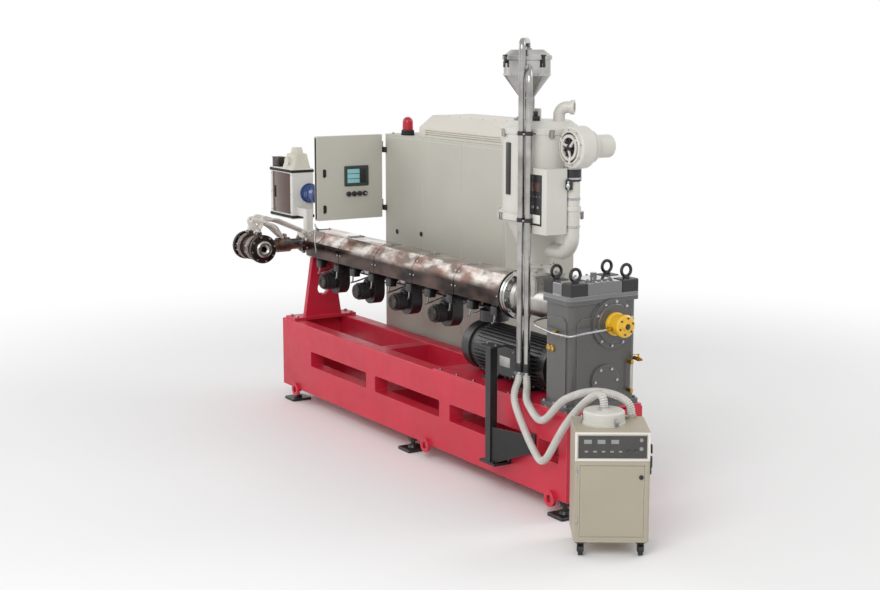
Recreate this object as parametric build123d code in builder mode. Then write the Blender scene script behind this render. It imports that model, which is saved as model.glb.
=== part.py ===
import os
from math import cos, pi, radians, sin, tan

from build123d import *

os.makedirs("parts", exist_ok=True)

# Driving dimensions, in millimetres. X runs along the barrel from the die to the gearbox,
# Y from the operator's side to the cabinet, Z up from the floor.
drive_end_x = 1722.0
frame_front_y = -416.0
screw_z = 1140.0

frame_width = 530.0
frame_length = 3590.0
frame_overhang = 15.0
beam_width = 100.0
beam_bottom_z = 100.0
frame_top_z = 600.0
window_low_z = 310.0
window_height = 110.0
window_length = 830.0
window_pitch = 950.0
window_radius = 14.0
last_window_right = 390.0
short_window_length = 200.0
short_window_centre = 160.0

deck_thickness = 12.0
gearbox_length = 270.0
gearbox_width = 470.0
gearbox_lid_z = 1240.0
gearbox_top_z = 1330.0
motor_z = 772.0
motor_radius = 140.0
motor_left = 1180.0
motor_right = 400.0

barrel_start = 860.0
barrel_end = 3420.0
barrel_radius = 62.0
bore_radius = 32.5
zone_count = 5
zone_gap = 6.0

dryer_from_end = 640.0
dryer_radius = 225.0
dryer_wall = 20.0
dryer_base_z = 1340.0
dryer_ring_z = 1660.0
dryer_top_z = 2140.0
receiver_radius = 140.0
receiver_top_z = 2600.0

cabinet_front = 600.0
cabinet_left = 3070.0
cabinet_right = 1500.0
cabinet_depth = 550.0
cabinet_height = 1975.0
plinth_height = 100.0
panel_width = 530.0
panel_height = 600.0
panel_thickness = 38.0
panel_low_z = 1370.0

unit_width = 390.0
unit_depth = 340.0
unit_low_z = 80.0
unit_top_z = 670.0
unit_turn = 57.7

hose_radius = 22.0


def from_end(distance):
    """X of a point that lies this far to the left of the gearbox's outer face."""
    return drive_end_x - distance


def from_front(distance):
    """Y of a point that lies this far behind the frame's front face."""
    return frame_front_y + distance


def facing_front(y):
    """Sketch plane at Y = y: sketch x is X, sketch y is Z, and it extrudes towards the front."""
    return Plane.XZ.offset(-y)


def arc_radii(points):
    """Radius of the arc at each corner of a route, as large as the two runs beside it allow."""
    radii = []
    for before, corner, after in zip(points, points[1:], points[2:]):
        run_in = Vector(*corner) - Vector(*before)
        run_out = Vector(*after) - Vector(*corner)
        half_turn = radians(run_in.get_angle(run_out)) / 2
        radii.append(0.45 * min(run_in.length, run_out.length) / tan(half_turn))
    return radii


def hose(route, radius):
    """A round tube along straight runs joined by arcs, with its length and tightest bend printed."""
    radii = arc_radii(route)
    with BuildPart() as tube:
        with BuildLine() as line:
            FilletPolyline(*route, radius=radii)
        with BuildSketch(Plane(line.line @ 0, z_dir=line.line % 0)):
            Circle(radius)
        sweep()
    length = sum(edge.length for edge in line.edges())
    section = pi * radius**2
    print(f"hose {length:.0f} mm, by volume {tube.part.volume / section:.0f} mm, bends", [round(r) for r in radii])
    return tube


def save(builder, name):
    """Labels a finished piece and writes its STEP file."""
    builder.part.label = name
    export_step(builder.part, f"parts/{name}.step")


# Places worked out from the driving dimensions.
frame_right_x = from_end(-frame_overhang)
frame_left_x = frame_right_x - frame_length
frame_mid_x = (frame_right_x + frame_left_x) / 2
frame_back_y = from_front(frame_width)
screw_y = from_front(frame_width / 2)
deck_z = frame_top_z + deck_thickness
dryer_x = from_end(dryer_from_end)
zone_length = (barrel_end - barrel_start) / zone_count
zone_centres = [from_end(barrel_start + zone_length * (zone + 0.5)) for zone in range(zone_count)]

# Side frames: box-section beams and posts with long windows between them.
window_z = window_low_z + window_height / 2
window_centres = [
    from_end(last_window_right + window_length / 2 + window_pitch * bay) for bay in range(3)
]
for name, outer_y in (
    ("front_side_frame", frame_front_y),
    ("rear_side_frame", frame_back_y - beam_width),
):
    with BuildPart() as side_frame:
        with BuildSketch(facing_front(outer_y)):
            with Locations((frame_mid_x, (beam_bottom_z + frame_top_z) / 2)):
                Rectangle(frame_length, frame_top_z - beam_bottom_z)
            with Locations([(x, window_z) for x in window_centres]):
                RectangleRounded(window_length, window_height, window_radius, mode=Mode.SUBTRACT)
            with Locations((from_end(short_window_centre), window_z)):
                RectangleRounded(short_window_length, window_height, window_radius, mode=Mode.SUBTRACT)
        extrude(amount=-beam_width)
        long_edges = side_frame.edges().filter_by(lambda e: e.length > frame_length - 1)
        fillet(long_edges, 8)
    save(side_frame, name)

# Cross members between the side frames, an upper and a lower one at each post.
cross_places = [(20.0, 60.0), (1280.0, 110.0), (2230.0, 110.0), (3530.0, 80.0)]
with BuildPart() as frame_cross_members:
    for low_z, high_z in ((110.0, 300.0), (430.0, 590.0)):
        with BuildSketch(Plane.XY.offset(low_z)):
            for distance, width in cross_places:
                with Locations((from_end(distance), screw_y)):
                    Rectangle(width, frame_width - 2 * beam_width)
        extrude(amount=high_z - low_z)
save(frame_cross_members, "frame_cross_members")

# Feet: a chamfered pad, a domed seat, a stud and a lock nut under each beam.
pad_size = 150.0
foot_spots = [
    (from_end(distance), from_front(y))
    for distance in (60.0, 1750.0, 3440.0)
    for y in (beam_width / 2, frame_width - beam_width / 2)
]
with BuildPart() as levelling_feet:
    with BuildSketch(Plane.XY):
        with Locations(foot_spots):
            RectangleRounded(pad_size, pad_size, 12)
    extrude(amount=18)
    chamfer(levelling_feet.faces().group_by(Axis.Z)[-1].edges(), 4)
    with BuildSketch(Plane.XY.offset(18)):
        with Locations(foot_spots):
            Circle(34)
    extrude(amount=16, taper=25)
    with BuildSketch(Plane.XY.offset(30)):
        with Locations(foot_spots):
            Circle(15)
    extrude(amount=beam_bottom_z - 30)
    with BuildSketch(Plane.XY.offset(60)):
        with Locations(foot_spots):
            RegularPolygon(27, 6)
    extrude(amount=22)
save(levelling_feet, "levelling_feet")

# Lifting rings welded to the outer faces of the lower beams.
ring_outer = 46.0
ring_inner = 24.0
ring_thickness = 22.0
ring_spots = [(from_end(distance), beam_bottom_z - 2) for distance in (120.0, 1490.0, 3350.0)]
with BuildPart() as lifting_rings:
    for face_y, direction in ((frame_front_y, 1), (frame_back_y, -1)):
        with BuildSketch(facing_front(face_y)):
            with Locations(ring_spots):
                Circle(ring_outer)
                Circle(ring_inner, mode=Mode.SUBTRACT)
        extrude(amount=direction * ring_thickness)
save(lifting_rings, "lifting_rings")

# Deck plate that the gearbox and the motor stand on.
deck_length = 1420.0
deck_right = from_end(-5)
with BuildPart() as drive_deck:
    with BuildSketch(Plane.XY.offset(frame_top_z)):
        with Locations((deck_right - deck_length / 2, screw_y)):
            Rectangle(deck_length, frame_width)
    extrude(amount=deck_thickness)
    chamfer(drive_deck.faces().sort_by(Axis.Z)[-1].edges(), 3)
save(drive_deck, "drive_deck")

# Gearbox housing: a cast block with foot and lid flanges, ribs, and raised panels on its faces.
panel_rise = 8.0
gearbox_x = from_end(gearbox_length / 2)
foot_flange = 30.0
joint_flange = 24.0
flange_lip = 12.0
bearing_y = from_front(315)
bearing_z = 1095.0
with BuildPart() as gearbox_housing:
    with BuildSketch(Plane.XY.offset(deck_z)):
        with Locations((gearbox_x, screw_y)):
            RectangleRounded(gearbox_length - 2 * panel_rise, gearbox_width - 2 * panel_rise, 34)
    extrude(amount=gearbox_lid_z - deck_z)
    with BuildSketch(Plane.XY.offset(deck_z)):
        with Locations((gearbox_x, screw_y)):
            RectangleRounded(gearbox_length - 2, gearbox_width + 36, 20)
    extrude(amount=foot_flange)
    with BuildSketch(Plane.XY.offset(gearbox_lid_z - joint_flange)):
        with Locations((gearbox_x, screw_y)):
            RectangleRounded(gearbox_length, gearbox_width + 2 * flange_lip, 30)
    extrude(amount=joint_flange)
    with BuildSketch(Plane.YZ.offset(from_end(gearbox_length))):
        with Locations((screw_y, 905)):
            RectangleRounded(gearbox_width - 90, 460, 50)
    extrude(amount=gearbox_length)
    with BuildSketch(facing_front(from_front(frame_width / 2 + gearbox_width / 2))):
        with Locations((gearbox_x, 905)):
            RectangleRounded(gearbox_length - 100, 460, 40)
    extrude(amount=gearbox_width)
    with BuildSketch(Plane.YZ.offset(from_end(panel_rise))):
        with Locations((bearing_y, bearing_z)):
            Circle(144)
    extrude(amount=panel_rise)
save(gearbox_housing, "gearbox_housing")

# Gearbox lid, notched at its corners for the lugs, with an inspection cover on top.
lug_length = 92.0
lug_width = 116.0
lug_places = [
    (gearbox_x + end * (gearbox_length - lug_length) / 2, screw_y + side * (gearbox_width - lug_width) / 2)
    for end in (-1, 1)
    for side in (-1, 1)
]
lid_flange = 22.0
with BuildPart() as gearbox_lid:
    with BuildSketch(Plane.XY.offset(gearbox_lid_z)):
        with Locations((gearbox_x, screw_y)):
            RectangleRounded(gearbox_length, gearbox_width + 2 * flange_lip, 30)
    extrude(amount=lid_flange)
    with BuildSketch(Plane.XY.offset(gearbox_lid_z + lid_flange)):
        with Locations((gearbox_x, screw_y)):
            Rectangle(gearbox_length - 12, gearbox_width)
        with Locations(lug_places):
            Rectangle(lug_length + 4, lug_width + 4, mode=Mode.SUBTRACT)
    extrude(amount=gearbox_top_z - gearbox_lid_z - lid_flange)
    fillet(gearbox_lid.faces().sort_by(Axis.Z)[-1].edges(), 8)
    with BuildSketch(Plane.XY.offset(gearbox_top_z)):
        with Locations((gearbox_x, screw_y)):
            RectangleRounded(150, 170, 14)
    extrude(amount=8)
    with BuildSketch(Plane.XY.offset(gearbox_top_z + 8)):
        with Locations((gearbox_x - 20, screw_y + 30)):
            Circle(20)
    extrude(amount=26, taper=6)
save(gearbox_lid, "gearbox_lid")

# Corner lugs with a lifting eye on each.
eye_radius = 33.0
eye_wire = 9.0
eye_z = gearbox_top_z + 48
with BuildPart() as gearbox_lifting_eyes:
    with BuildSketch(Plane.XY.offset(gearbox_lid_z + lid_flange)):
        with Locations(lug_places):
            RectangleRounded(lug_length, lug_width, 10)
    extrude(amount=gearbox_top_z + 4 - gearbox_lid_z - lid_flange)
    chamfer(gearbox_lifting_eyes.faces().group_by(Axis.Z)[-1].edges(), 5)
    with BuildSketch(Plane.XY.offset(gearbox_top_z)):
        with Locations(lug_places):
            Circle(20)
    extrude(amount=eye_z - eye_radius - gearbox_top_z)
    with Locations([(x, y, eye_z) for x, y in lug_places]):
        Torus(eye_radius, eye_wire, rotation=(0, 90, 0))
save(gearbox_lifting_eyes, "gearbox_lifting_eyes")

# Bearing caps on the gearbox's outer face.
cap_profile = [(140.0, 14.0), (112.0, 24.0)]
with BuildPart() as bearing_caps:
    for radius, height in cap_profile:
        with BuildSketch(Plane.YZ.offset(drive_end_x)):
            with Locations((bearing_y, bearing_z)):
                Circle(radius)
        extrude(amount=height)
    with BuildSketch(Plane.YZ.offset(drive_end_x)):
        with Locations((screw_y, motor_z)):
            Circle(92)
    extrude(amount=14)
    chamfer(bearing_caps.faces().filter_by(Plane.YZ).group_by(Axis.X)[-1].edges(), 3)
save(bearing_caps, "bearing_caps")

# Oil pump on the upper cap: a drum with a rim at each end and a hub.
pump_x = drive_end_x + 24
with BuildPart() as oil_pump:
    with BuildSketch(Plane.XZ.offset(-bearing_y)):
        with BuildLine():
            Polyline(
                (pump_x, bearing_z),
                (pump_x, bearing_z + 66),
                (pump_x + 14, bearing_z + 66),
                (pump_x + 18, bearing_z + 58),
                (pump_x + 74, bearing_z + 58),
                (pump_x + 78, bearing_z + 64),
                (pump_x + 96, bearing_z + 64),
                (pump_x + 104, bearing_z + 54),
                (pump_x + 104, bearing_z + 26),
                (pump_x + 116, bearing_z + 22),
                (pump_x + 116, bearing_z),
                close=True,
            )
        make_face()
    revolve(axis=Axis((0, bearing_y, bearing_z), (1, 0, 0)))
save(oil_pump, "oil_pump")

# Drive motor under the barrel, in line with the gearbox's lower shaft.
motor_mid_x = from_end((motor_left + motor_right) / 2)
fin_count = 40
fin_height = 18.0
end_shield = 60.0
with BuildPart() as drive_motor:
    with BuildSketch(Plane.YZ.offset(from_end(motor_left))):
        with Locations((screw_y, motor_z)):
            Circle(motor_radius)
    extrude(amount=motor_left - motor_right)
    with BuildSketch(Plane.YZ.offset(from_end(motor_left - end_shield))):
        with Locations((screw_y, motor_z)):
            with PolarLocations(motor_radius + fin_height / 2 - 2, fin_count):
                Rectangle(fin_height + 4, 5)
    extrude(amount=motor_left - motor_right - 2 * end_shield)
    with BuildSketch(Plane.XY.offset(deck_z)):
        with Locations([(motor_mid_x + end * 190, screw_y) for end in (-1, 1)]):
            Rectangle(90, 300)
    extrude(amount=20)
    with BuildSketch(Plane.XY.offset(deck_z + 20)):
        with Locations(
            [(motor_mid_x + end * 190, screw_y + side * 105) for end in (-1, 1) for side in (-1, 1)]
        ):
            Rectangle(70, 20)
    extrude(amount=70)
save(drive_motor, "drive_motor")

# Fan cowl with slots cut through its end.
cowl_length = 90.0
with BuildPart() as motor_fan_cowl:
    with BuildSketch(Plane.YZ.offset(from_end(motor_left + cowl_length))):
        with Locations((screw_y, motor_z)):
            Circle(motor_radius + 12)
    extrude(amount=cowl_length)
    fillet(motor_fan_cowl.faces().sort_by(Axis.X)[0].edges(), 18)
    with BuildSketch(Plane.YZ.offset(from_end(motor_left + cowl_length))):
        with Locations((screw_y, motor_z)):
            with PolarLocations(76, 20):
                SlotOverall(72, 7)
    extrude(amount=8, mode=Mode.SUBTRACT)
save(motor_fan_cowl, "motor_fan_cowl")

# Coupling guard: a sheet drum between flanges, slotted all round.
guard_radius = 112.0
with BuildPart() as coupling_guard:
    with BuildSketch(Plane.YZ.offset(from_end(motor_right))):
        with Locations((screw_y, motor_z)):
            Circle(motor_radius + 10)
    extrude(amount=18)
    with BuildSketch(Plane.YZ.offset(from_end(motor_right - 18))):
        with Locations((screw_y, motor_z)):
            Circle(guard_radius)
    extrude(amount=motor_right - 18 - gearbox_length)
    with BuildSketch(Plane.YZ.offset(from_end(gearbox_length + 92))):
        with Locations((screw_y, motor_z)):
            with PolarLocations(guard_radius, 24):
                Rectangle(12, 9)
    extrude(amount=72, mode=Mode.SUBTRACT)
save(coupling_guard, "coupling_guard")

# Motor terminal box on the operator's side.
with BuildPart() as motor_terminal_box:
    with BuildSketch(facing_front(screw_y - motor_radius - fin_height)):
        with Locations((from_end(650), motor_z + 16)):
            RectangleRounded(210, 160, 14)
    extrude(amount=62)
    with BuildSketch(facing_front(screw_y - motor_radius - fin_height - 62)):
        with Locations((from_end(650), motor_z + 16)):
            RectangleRounded(222, 172, 16)
    extrude(amount=14)
    fillet(motor_terminal_box.faces().sort_by(Axis.Y)[0].edges(), 5)
save(motor_terminal_box, "motor_terminal_box")

# Feed section between the gearbox and the barrel, with its throat under the hopper.
feed_end = 800.0
throat_top_z = 1300.0
with BuildPart() as feed_housing:
    with BuildSketch(Plane.XZ.offset(-screw_y)):
        with BuildLine():
            Polyline(
                (from_end(feed_end), screw_z),
                (from_end(feed_end), screw_z + 118),
                (from_end(feed_end - 26), screw_z + 118),
                (from_end(feed_end - 40), screw_z + 100),
                (from_end(gearbox_length + 70), screw_z + 100),
                (from_end(gearbox_length + 40), screw_z + 150),
                (from_end(gearbox_length), screw_z + 150),
                (from_end(gearbox_length), screw_z),
                close=True,
            )
        make_face()
    revolve(axis=Axis((0, screw_y, screw_z), (1, 0, 0)))
    with BuildSketch(Plane.XY.offset(screw_z)):
        with Locations((dryer_x, screw_y)):
            RectangleRounded(190, 190, 24)
    extrude(amount=throat_top_z - screw_z)
    with BuildSketch(Plane.XY.offset(throat_top_z - 22)):
        with Locations((dryer_x, screw_y)):
            RectangleRounded(240, 230, 16)
    extrude(amount=22)
save(feed_housing, "feed_housing")

# Flange pair that joins the barrel to the feed section.
with BuildPart() as barrel_flange:
    with BuildSketch(Plane.XZ.offset(-screw_y)):
        with BuildLine():
            Polyline(
                (from_end(barrel_start - 4), screw_z),
                (from_end(barrel_start - 4), screw_z + 118),
                (from_end(barrel_start - 14), screw_z + 118),
                (from_end(barrel_start - 14), screw_z + 144),
                (from_end(feed_end + 26), screw_z + 144),
                (from_end(feed_end + 24), screw_z + 136),
                (from_end(feed_end + 20), screw_z + 136),
                (from_end(feed_end + 18), screw_z + 144),
                (from_end(feed_end), screw_z + 144),
                (from_end(feed_end), screw_z),
                close=True,
            )
        make_face()
    revolve(axis=Axis((0, screw_y, screw_z), (1, 0, 0)))
save(barrel_flange, "barrel_flange")

# Barrel tube with its bore.
barrel_tip = barrel_end + 60
with BuildPart() as barrel:
    with BuildSketch(Plane.YZ.offset(from_end(barrel_tip))):
        with Locations((screw_y, screw_z)):
            Circle(barrel_radius)
            Circle(bore_radius, mode=Mode.SUBTRACT)
    extrude(amount=barrel_tip - barrel_start + 4)
save(barrel, "barrel")

heater_margin = 45.0
heater_radius = 86.0
with BuildPart() as band_heaters:
    for centre in zone_centres:
        with BuildSketch(Plane.YZ.offset(centre - zone_length / 2 + heater_margin)):
            with Locations((screw_y, screw_z)):
                Circle(heater_radius)
                Circle(barrel_radius, mode=Mode.SUBTRACT)
        extrude(amount=zone_length - 2 * heater_margin)
save(band_heaters, "band_heaters")

# Polished covers: a folded box of sheet round each heating zone, with end plates on the barrel.
cover_sheet = 3.0
cover_drop = 100.0
cover_outline = [
    (-75, -cover_drop),
    (-140, -60),
    (-140, 48),
    (-78, 122),
    (78, 122),
    (140, 48),
    (140, -60),
    (75, -cover_drop),
]
cover_length = zone_length - zone_gap
with BuildPart() as barrel_covers:
    for centre in zone_centres:
        with BuildSketch(Plane.YZ.offset(centre - cover_length / 2)):
            with Locations((screw_y, screw_z)):
                Polygon(*cover_outline, align=None)
                Circle(barrel_radius, mode=Mode.SUBTRACT)
        extrude(amount=cover_length)
        with BuildSketch(Plane.YZ.offset(centre - cover_length / 2 + cover_sheet)):
            with Locations((screw_y, screw_z)):
                Polygon(*cover_outline, align=None)
            offset(amount=-cover_sheet, mode=Mode.REPLACE)
        extrude(amount=cover_length - 2 * cover_sheet, mode=Mode.SUBTRACT)
save(barrel_covers, "barrel_covers")

# Cooling blowers under the covers: a volute with a tangential outlet, and its ribbed motor in front.
# The first zone has room only for a flat one above the drive motor.
blower_z = 915.0
volute_radius = 92.0
outlet_width = 74.0
with BuildPart() as zone_blowers:
    for centre in zone_centres[1:]:
        with BuildSketch(facing_front(screw_y + 38)):
            with Locations((centre, blower_z)):
                Circle(volute_radius)
            with Locations((centre + volute_radius - outlet_width / 2, (blower_z + screw_z - cover_drop) / 2)):
                Rectangle(outlet_width, screw_z - cover_drop - blower_z)
        extrude(amount=78)
        with BuildSketch(facing_front(screw_y - 40)):
            with Locations((centre, blower_z)):
                Circle(52)
        extrude(amount=100)
        for step in range(5):
            with BuildSketch(facing_front(screw_y - 58 - 15 * step)):
                with Locations((centre, blower_z)):
                    Circle(60)
            extrude(amount=7)
    with BuildSketch(Plane.XY.offset(screw_z - 196)):
        with Locations((zone_centres[0], screw_y)):
            Circle(volute_radius)
    extrude(amount=66)
    with BuildSketch(Plane.XY.offset(screw_z - 130)):
        with Locations((zone_centres[0] + 30, screw_y)):
            Rectangle(110, 80)
    extrude(amount=30)
save(zone_blowers, "zone_blowers")

# Column that carries the barrel's die end: foot plate, tapered web with a saddle, and a rib.
column_thickness = 40.0
column_centre = from_end(barrel_end + 26)
with BuildPart() as barrel_support:
    with BuildSketch(Plane.XY.offset(frame_top_z)):
        with Locations((column_centre - 20, screw_y)):
            Rectangle(150, frame_width - 20)
    extrude(amount=20)
    with BuildSketch(Plane.YZ.offset(column_centre - column_thickness / 2)):
        with BuildLine():
            Polyline(
                (screw_y - 150, frame_top_z + 20),
                (screw_y - 80, screw_z - 60),
                (screw_y - 80, screw_z + 20),
                (screw_y + 80, screw_z + 20),
                (screw_y + 80, screw_z - 60),
                (screw_y + 150, frame_top_z + 20),
                close=True,
            )
        make_face()
        with Locations((screw_y, screw_z + 20)):
            Circle(80)
        with Locations((screw_y, screw_z)):
            Circle(barrel_radius, mode=Mode.SUBTRACT)
        with Locations((screw_y, 820)):
            Circle(46, mode=Mode.SUBTRACT)
    extrude(amount=column_thickness)
    with BuildSketch(facing_front(screw_y + 12)):
        with BuildLine():
            Polyline(
                (column_centre - column_thickness / 2, frame_top_z + 20),
                (column_centre - 90, frame_top_z + 20),
                (column_centre - column_thickness / 2, 780),
                close=True,
            )
        make_face()
    extrude(amount=24)
save(barrel_support, "barrel_support")

# Clamp ring in two halves, bolted through its ears, that holds the adapter to the barrel.
adapter_start = barrel_tip + 50
adapter_end = 3720.0
with BuildPart() as barrel_head_clamp:
    with BuildSketch(Plane.YZ.offset(from_end(adapter_start))):
        with Locations((screw_y, screw_z)):
            Circle(106)
            Rectangle(280, 70)
            for side in (-1, 1):
                with Locations((side * 123, 0)):
                    Rectangle(36, 8, mode=Mode.SUBTRACT)
    extrude(amount=adapter_start - barrel_tip)
save(barrel_head_clamp, "barrel_head_clamp")

# Adapter: flange, heated body and end plug.
with BuildPart() as melt_adapter:
    with BuildSketch(Plane.XZ.offset(-screw_y)):
        with BuildLine():
            Polyline(
                (from_end(adapter_start), screw_z),
                (from_end(adapter_start), screw_z + 96),
                (from_end(adapter_start + 24), screw_z + 96),
                (from_end(adapter_start + 24), screw_z + 72),
                (from_end(adapter_end - 26), screw_z + 72),
                (from_end(adapter_end - 26), screw_z + 84),
                (from_end(adapter_end - 4), screw_z + 84),
                (from_end(adapter_end), screw_z + 78),
                (from_end(adapter_end), screw_z),
                close=True,
            )
        make_face()
    revolve(axis=Axis((0, screw_y, screw_z), (1, 0, 0)))
save(melt_adapter, "melt_adapter")

# Crosshead across the operator's side: a bored body between flanges, with centring screws.
crosshead_x = from_end(3620)
crosshead_y = from_front(-200)
crosshead_length = 320.0
crosshead_left = crosshead_x - crosshead_length / 2
crosshead_radius = 82.0
die_flange_radius = 104.0
die_bore_radius = 20.0
with BuildPart() as crosshead_body:
    with BuildSketch(Plane.YZ.offset(crosshead_left)):
        with Locations((crosshead_y, screw_z)):
            Circle(crosshead_radius)
    extrude(amount=crosshead_length)
    for x in (crosshead_left, crosshead_left + crosshead_length - 26):
        with BuildSketch(Plane.YZ.offset(x)):
            with Locations((crosshead_y, screw_z)):
                Circle(die_flange_radius)
        extrude(amount=26)
    chamfer(crosshead_body.edges().filter_by(GeomType.CIRCLE).filter_by(lambda e: e.radius > 100), 4)
    for step in range(8):
        outward = (0, cos(radians(45 * step)), sin(radians(45 * step)))
        with BuildSketch(Plane((crosshead_left + 40, crosshead_y, screw_z), z_dir=outward)):
            RegularPolygon(9, 6)
        extrude(amount=98)
    with BuildSketch(Plane.YZ.offset(crosshead_left)):
        with Locations((crosshead_y, screw_z)):
            Circle(die_bore_radius)
    extrude(amount=crosshead_length, mode=Mode.SUBTRACT)
    with BuildSketch(Plane.YZ.offset(crosshead_left)):
        with Locations((crosshead_y, screw_z)):
            with PolarLocations(84, 8, start_angle=22.5):
                Circle(6.5)
    extrude(amount=20, mode=Mode.SUBTRACT)
save(crosshead_body, "crosshead_body")

with BuildPart() as side_melt_pipe:
    with BuildSketch(facing_front(screw_y)):
        with Locations((crosshead_x, screw_z)):
            Circle(40)
    extrude(amount=screw_y - crosshead_y)
    with BuildSketch(facing_front((screw_y + crosshead_y) / 2 + 50)):
        with Locations((crosshead_x, screw_z)):
            Circle(54)
    extrude(amount=100)
    for y, radius in ((screw_y, 72), (crosshead_y, crosshead_radius)):
        with BuildSketch(Plane.YZ.offset(crosshead_x - 60)):
            with Locations((y, screw_z)):
                Circle(radius)
        extrude(amount=120, mode=Mode.SUBTRACT)
save(side_melt_pipe, "side_melt_pipe")

# Band heaters on the crosshead, each with a clamp lug on top.
with BuildPart() as crosshead_heaters:
    for x in (crosshead_x - 100, crosshead_x + 44):
        with BuildSketch(Plane.YZ.offset(x)):
            with Locations((crosshead_y, screw_z)):
                Circle(96)
                with Locations((0, 100)):
                    Rectangle(34, 34)
                Circle(crosshead_radius, mode=Mode.SUBTRACT)
        extrude(amount=56)
save(crosshead_heaters, "crosshead_heaters")

# White box with a framed window, on a post over the adapter, with its cap and its side motor.
box_length = 380.0
box_depth = 180.0
box_height = 380.0
box_low_z = 1300.0
box_left = from_end(4170)
box_x = box_left + box_length / 2
box_y = from_front(290)
window_rim = 34.0
with BuildPart() as head_box:
    with BuildSketch(Plane.XY.offset(box_low_z)):
        with Locations((box_x, box_y)):
            RectangleRounded(box_length, box_depth, 8)
    extrude(amount=box_height)
    with BuildSketch(facing_front(box_y - box_depth / 2)):
        with Locations((box_x, box_low_z + box_height / 2)):
            RectangleRounded(box_length - 2 * window_rim, box_height - 2 * window_rim, 10)
    extrude(amount=-10, mode=Mode.SUBTRACT)
    for low_z in (box_low_z + 12, box_low_z + box_height - 24):
        with BuildSketch(Plane.XY.offset(low_z)):
            with Locations((box_x, box_y)):
                RectangleRounded(box_length + 8, box_depth + 8, 10)
                Rectangle(box_length - 4, box_depth - 4, mode=Mode.SUBTRACT)
        extrude(amount=12)
save(head_box, "head_box")

cap_x = box_x + 84
with BuildPart() as head_box_cap:
    with BuildSketch(Plane.XY.offset(box_low_z + box_height)):
        with Locations((cap_x, box_y)):
            RectangleRounded(190, 160, 24)
    with BuildSketch(Plane.XY.offset(box_low_z + box_height + 110)):
        with Locations((cap_x + 12, box_y)):
            RectangleRounded(150, 120, 40)
    loft()
    with BuildSketch(Plane.XY.offset(box_low_z + box_height + 110)):
        with Locations((cap_x + 12, box_y)):
            Circle(48)
    extrude(amount=46, taper=12)
    with BuildSketch(facing_front(box_y - 60)):
        with Locations((cap_x + 20, box_low_z + box_height + 56)):
            Circle(32)
    extrude(amount=34)
save(head_box_cap, "head_box_cap")

# Post: a foot plate on the adapter, a square tube, and an arm to the box.
post_x = from_end(3660)
post_foot_z = screw_z + 84
with BuildPart() as head_box_post:
    with BuildSketch(Plane.XY.offset(screw_z + 40)):
        with Locations((post_x, screw_y)):
            Rectangle(110, 130)
    extrude(amount=post_foot_z - screw_z - 40)
    with BuildSketch(Plane.XY.offset(post_foot_z)):
        with Locations((post_x, screw_y)):
            RectangleRounded(56, 56, 6)
    extrude(amount=box_low_z + 90 - post_foot_z)
    with BuildSketch(Plane.XY.offset(box_low_z + 30)):
        with Locations(((post_x + box_left + box_length) / 2, screw_y)):
            Rectangle(post_x - box_left - box_length, 56)
    extrude(amount=60)
    add(melt_adapter.part, mode=Mode.SUBTRACT)
save(head_box_post, "head_box_post")

side_motor_y = box_y + 50
side_motor_z = box_low_z + 195
with BuildPart() as head_box_motor:
    with BuildSketch(Plane.XZ.offset(-side_motor_y)):
        with BuildLine():
            Polyline(
                (box_left + box_length, side_motor_z),
                (box_left + box_length, side_motor_z + 74),
                (box_left + box_length + 16, side_motor_z + 74),
                (box_left + box_length + 16, side_motor_z + 64),
                (box_left + box_length + 118, side_motor_z + 64),
                (box_left + box_length + 124, side_motor_z + 68),
                (box_left + box_length + 168, side_motor_z + 64),
                (box_left + box_length + 178, side_motor_z + 46),
                (box_left + box_length + 178, side_motor_z),
                close=True,
            )
        make_face()
    revolve(axis=Axis((0, side_motor_y, side_motor_z), (1, 0, 0)))
save(head_box_motor, "head_box_motor")

# Control cabinet behind the barrel: three doors in front, a louvred right end, and a bay in
# its left end that the panel door closes.
cabinet_front_y = from_front(cabinet_front)
cabinet_length = cabinet_left - cabinet_right
cabinet_x = from_end((cabinet_left + cabinet_right) / 2)
cabinet_y = cabinet_front_y + cabinet_depth / 2
cabinet_left_x = from_end(cabinet_left)
cabinet_right_x = from_end(cabinet_right)
door_rise = 3.0
door_count = 3
door_gap = 6.0
door_margin = 22.0
door_pitch = (cabinet_length - 2 * door_margin + door_gap) / door_count
door_centres = [
    cabinet_left_x + door_margin - door_gap / 2 + door_pitch * (door + 0.5) for door in range(door_count)
]
bay_depth = 220.0
bay_width = panel_width - 70
bay_height = panel_height - 70
bay_y = cabinet_front_y + 25 + bay_width / 2
panel_mid_z = panel_low_z + panel_height / 2
with BuildPart() as control_cabinet:
    with BuildSketch(Plane.XY.offset(plinth_height)):
        with Locations((cabinet_x, cabinet_y)):
            Rectangle(cabinet_length, cabinet_depth)
    extrude(amount=cabinet_height - plinth_height)
    chamfer(control_cabinet.edges().filter_by(Axis.Z), 5)
    with BuildSketch(facing_front(cabinet_front_y)):
        with Locations([(x, (plinth_height + cabinet_height) / 2) for x in door_centres]):
            RectangleRounded(door_pitch - door_gap, cabinet_height - plinth_height - 2 * door_margin, 4)
    extrude(amount=door_rise)
    with BuildSketch(Plane.YZ.offset(cabinet_right_x)):
        with Locations([(cabinet_y, 420 + 26 * slot) for slot in range(9)]):
            SlotOverall(300, 10)
    extrude(amount=-12, mode=Mode.SUBTRACT)
    with BuildSketch(Plane.YZ.offset(cabinet_left_x)):
        with Locations((bay_y, panel_mid_z)):
            Rectangle(bay_width, bay_height)
    extrude(amount=bay_depth, mode=Mode.SUBTRACT)
save(control_cabinet, "control_cabinet")

with BuildPart() as cabinet_plinth:
    with BuildSketch(Plane.XY):
        with Locations((cabinet_x, cabinet_y)):
            Rectangle(cabinet_length - 30, cabinet_depth - 30)
    extrude(amount=plinth_height)
save(cabinet_plinth, "cabinet_plinth")

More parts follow.
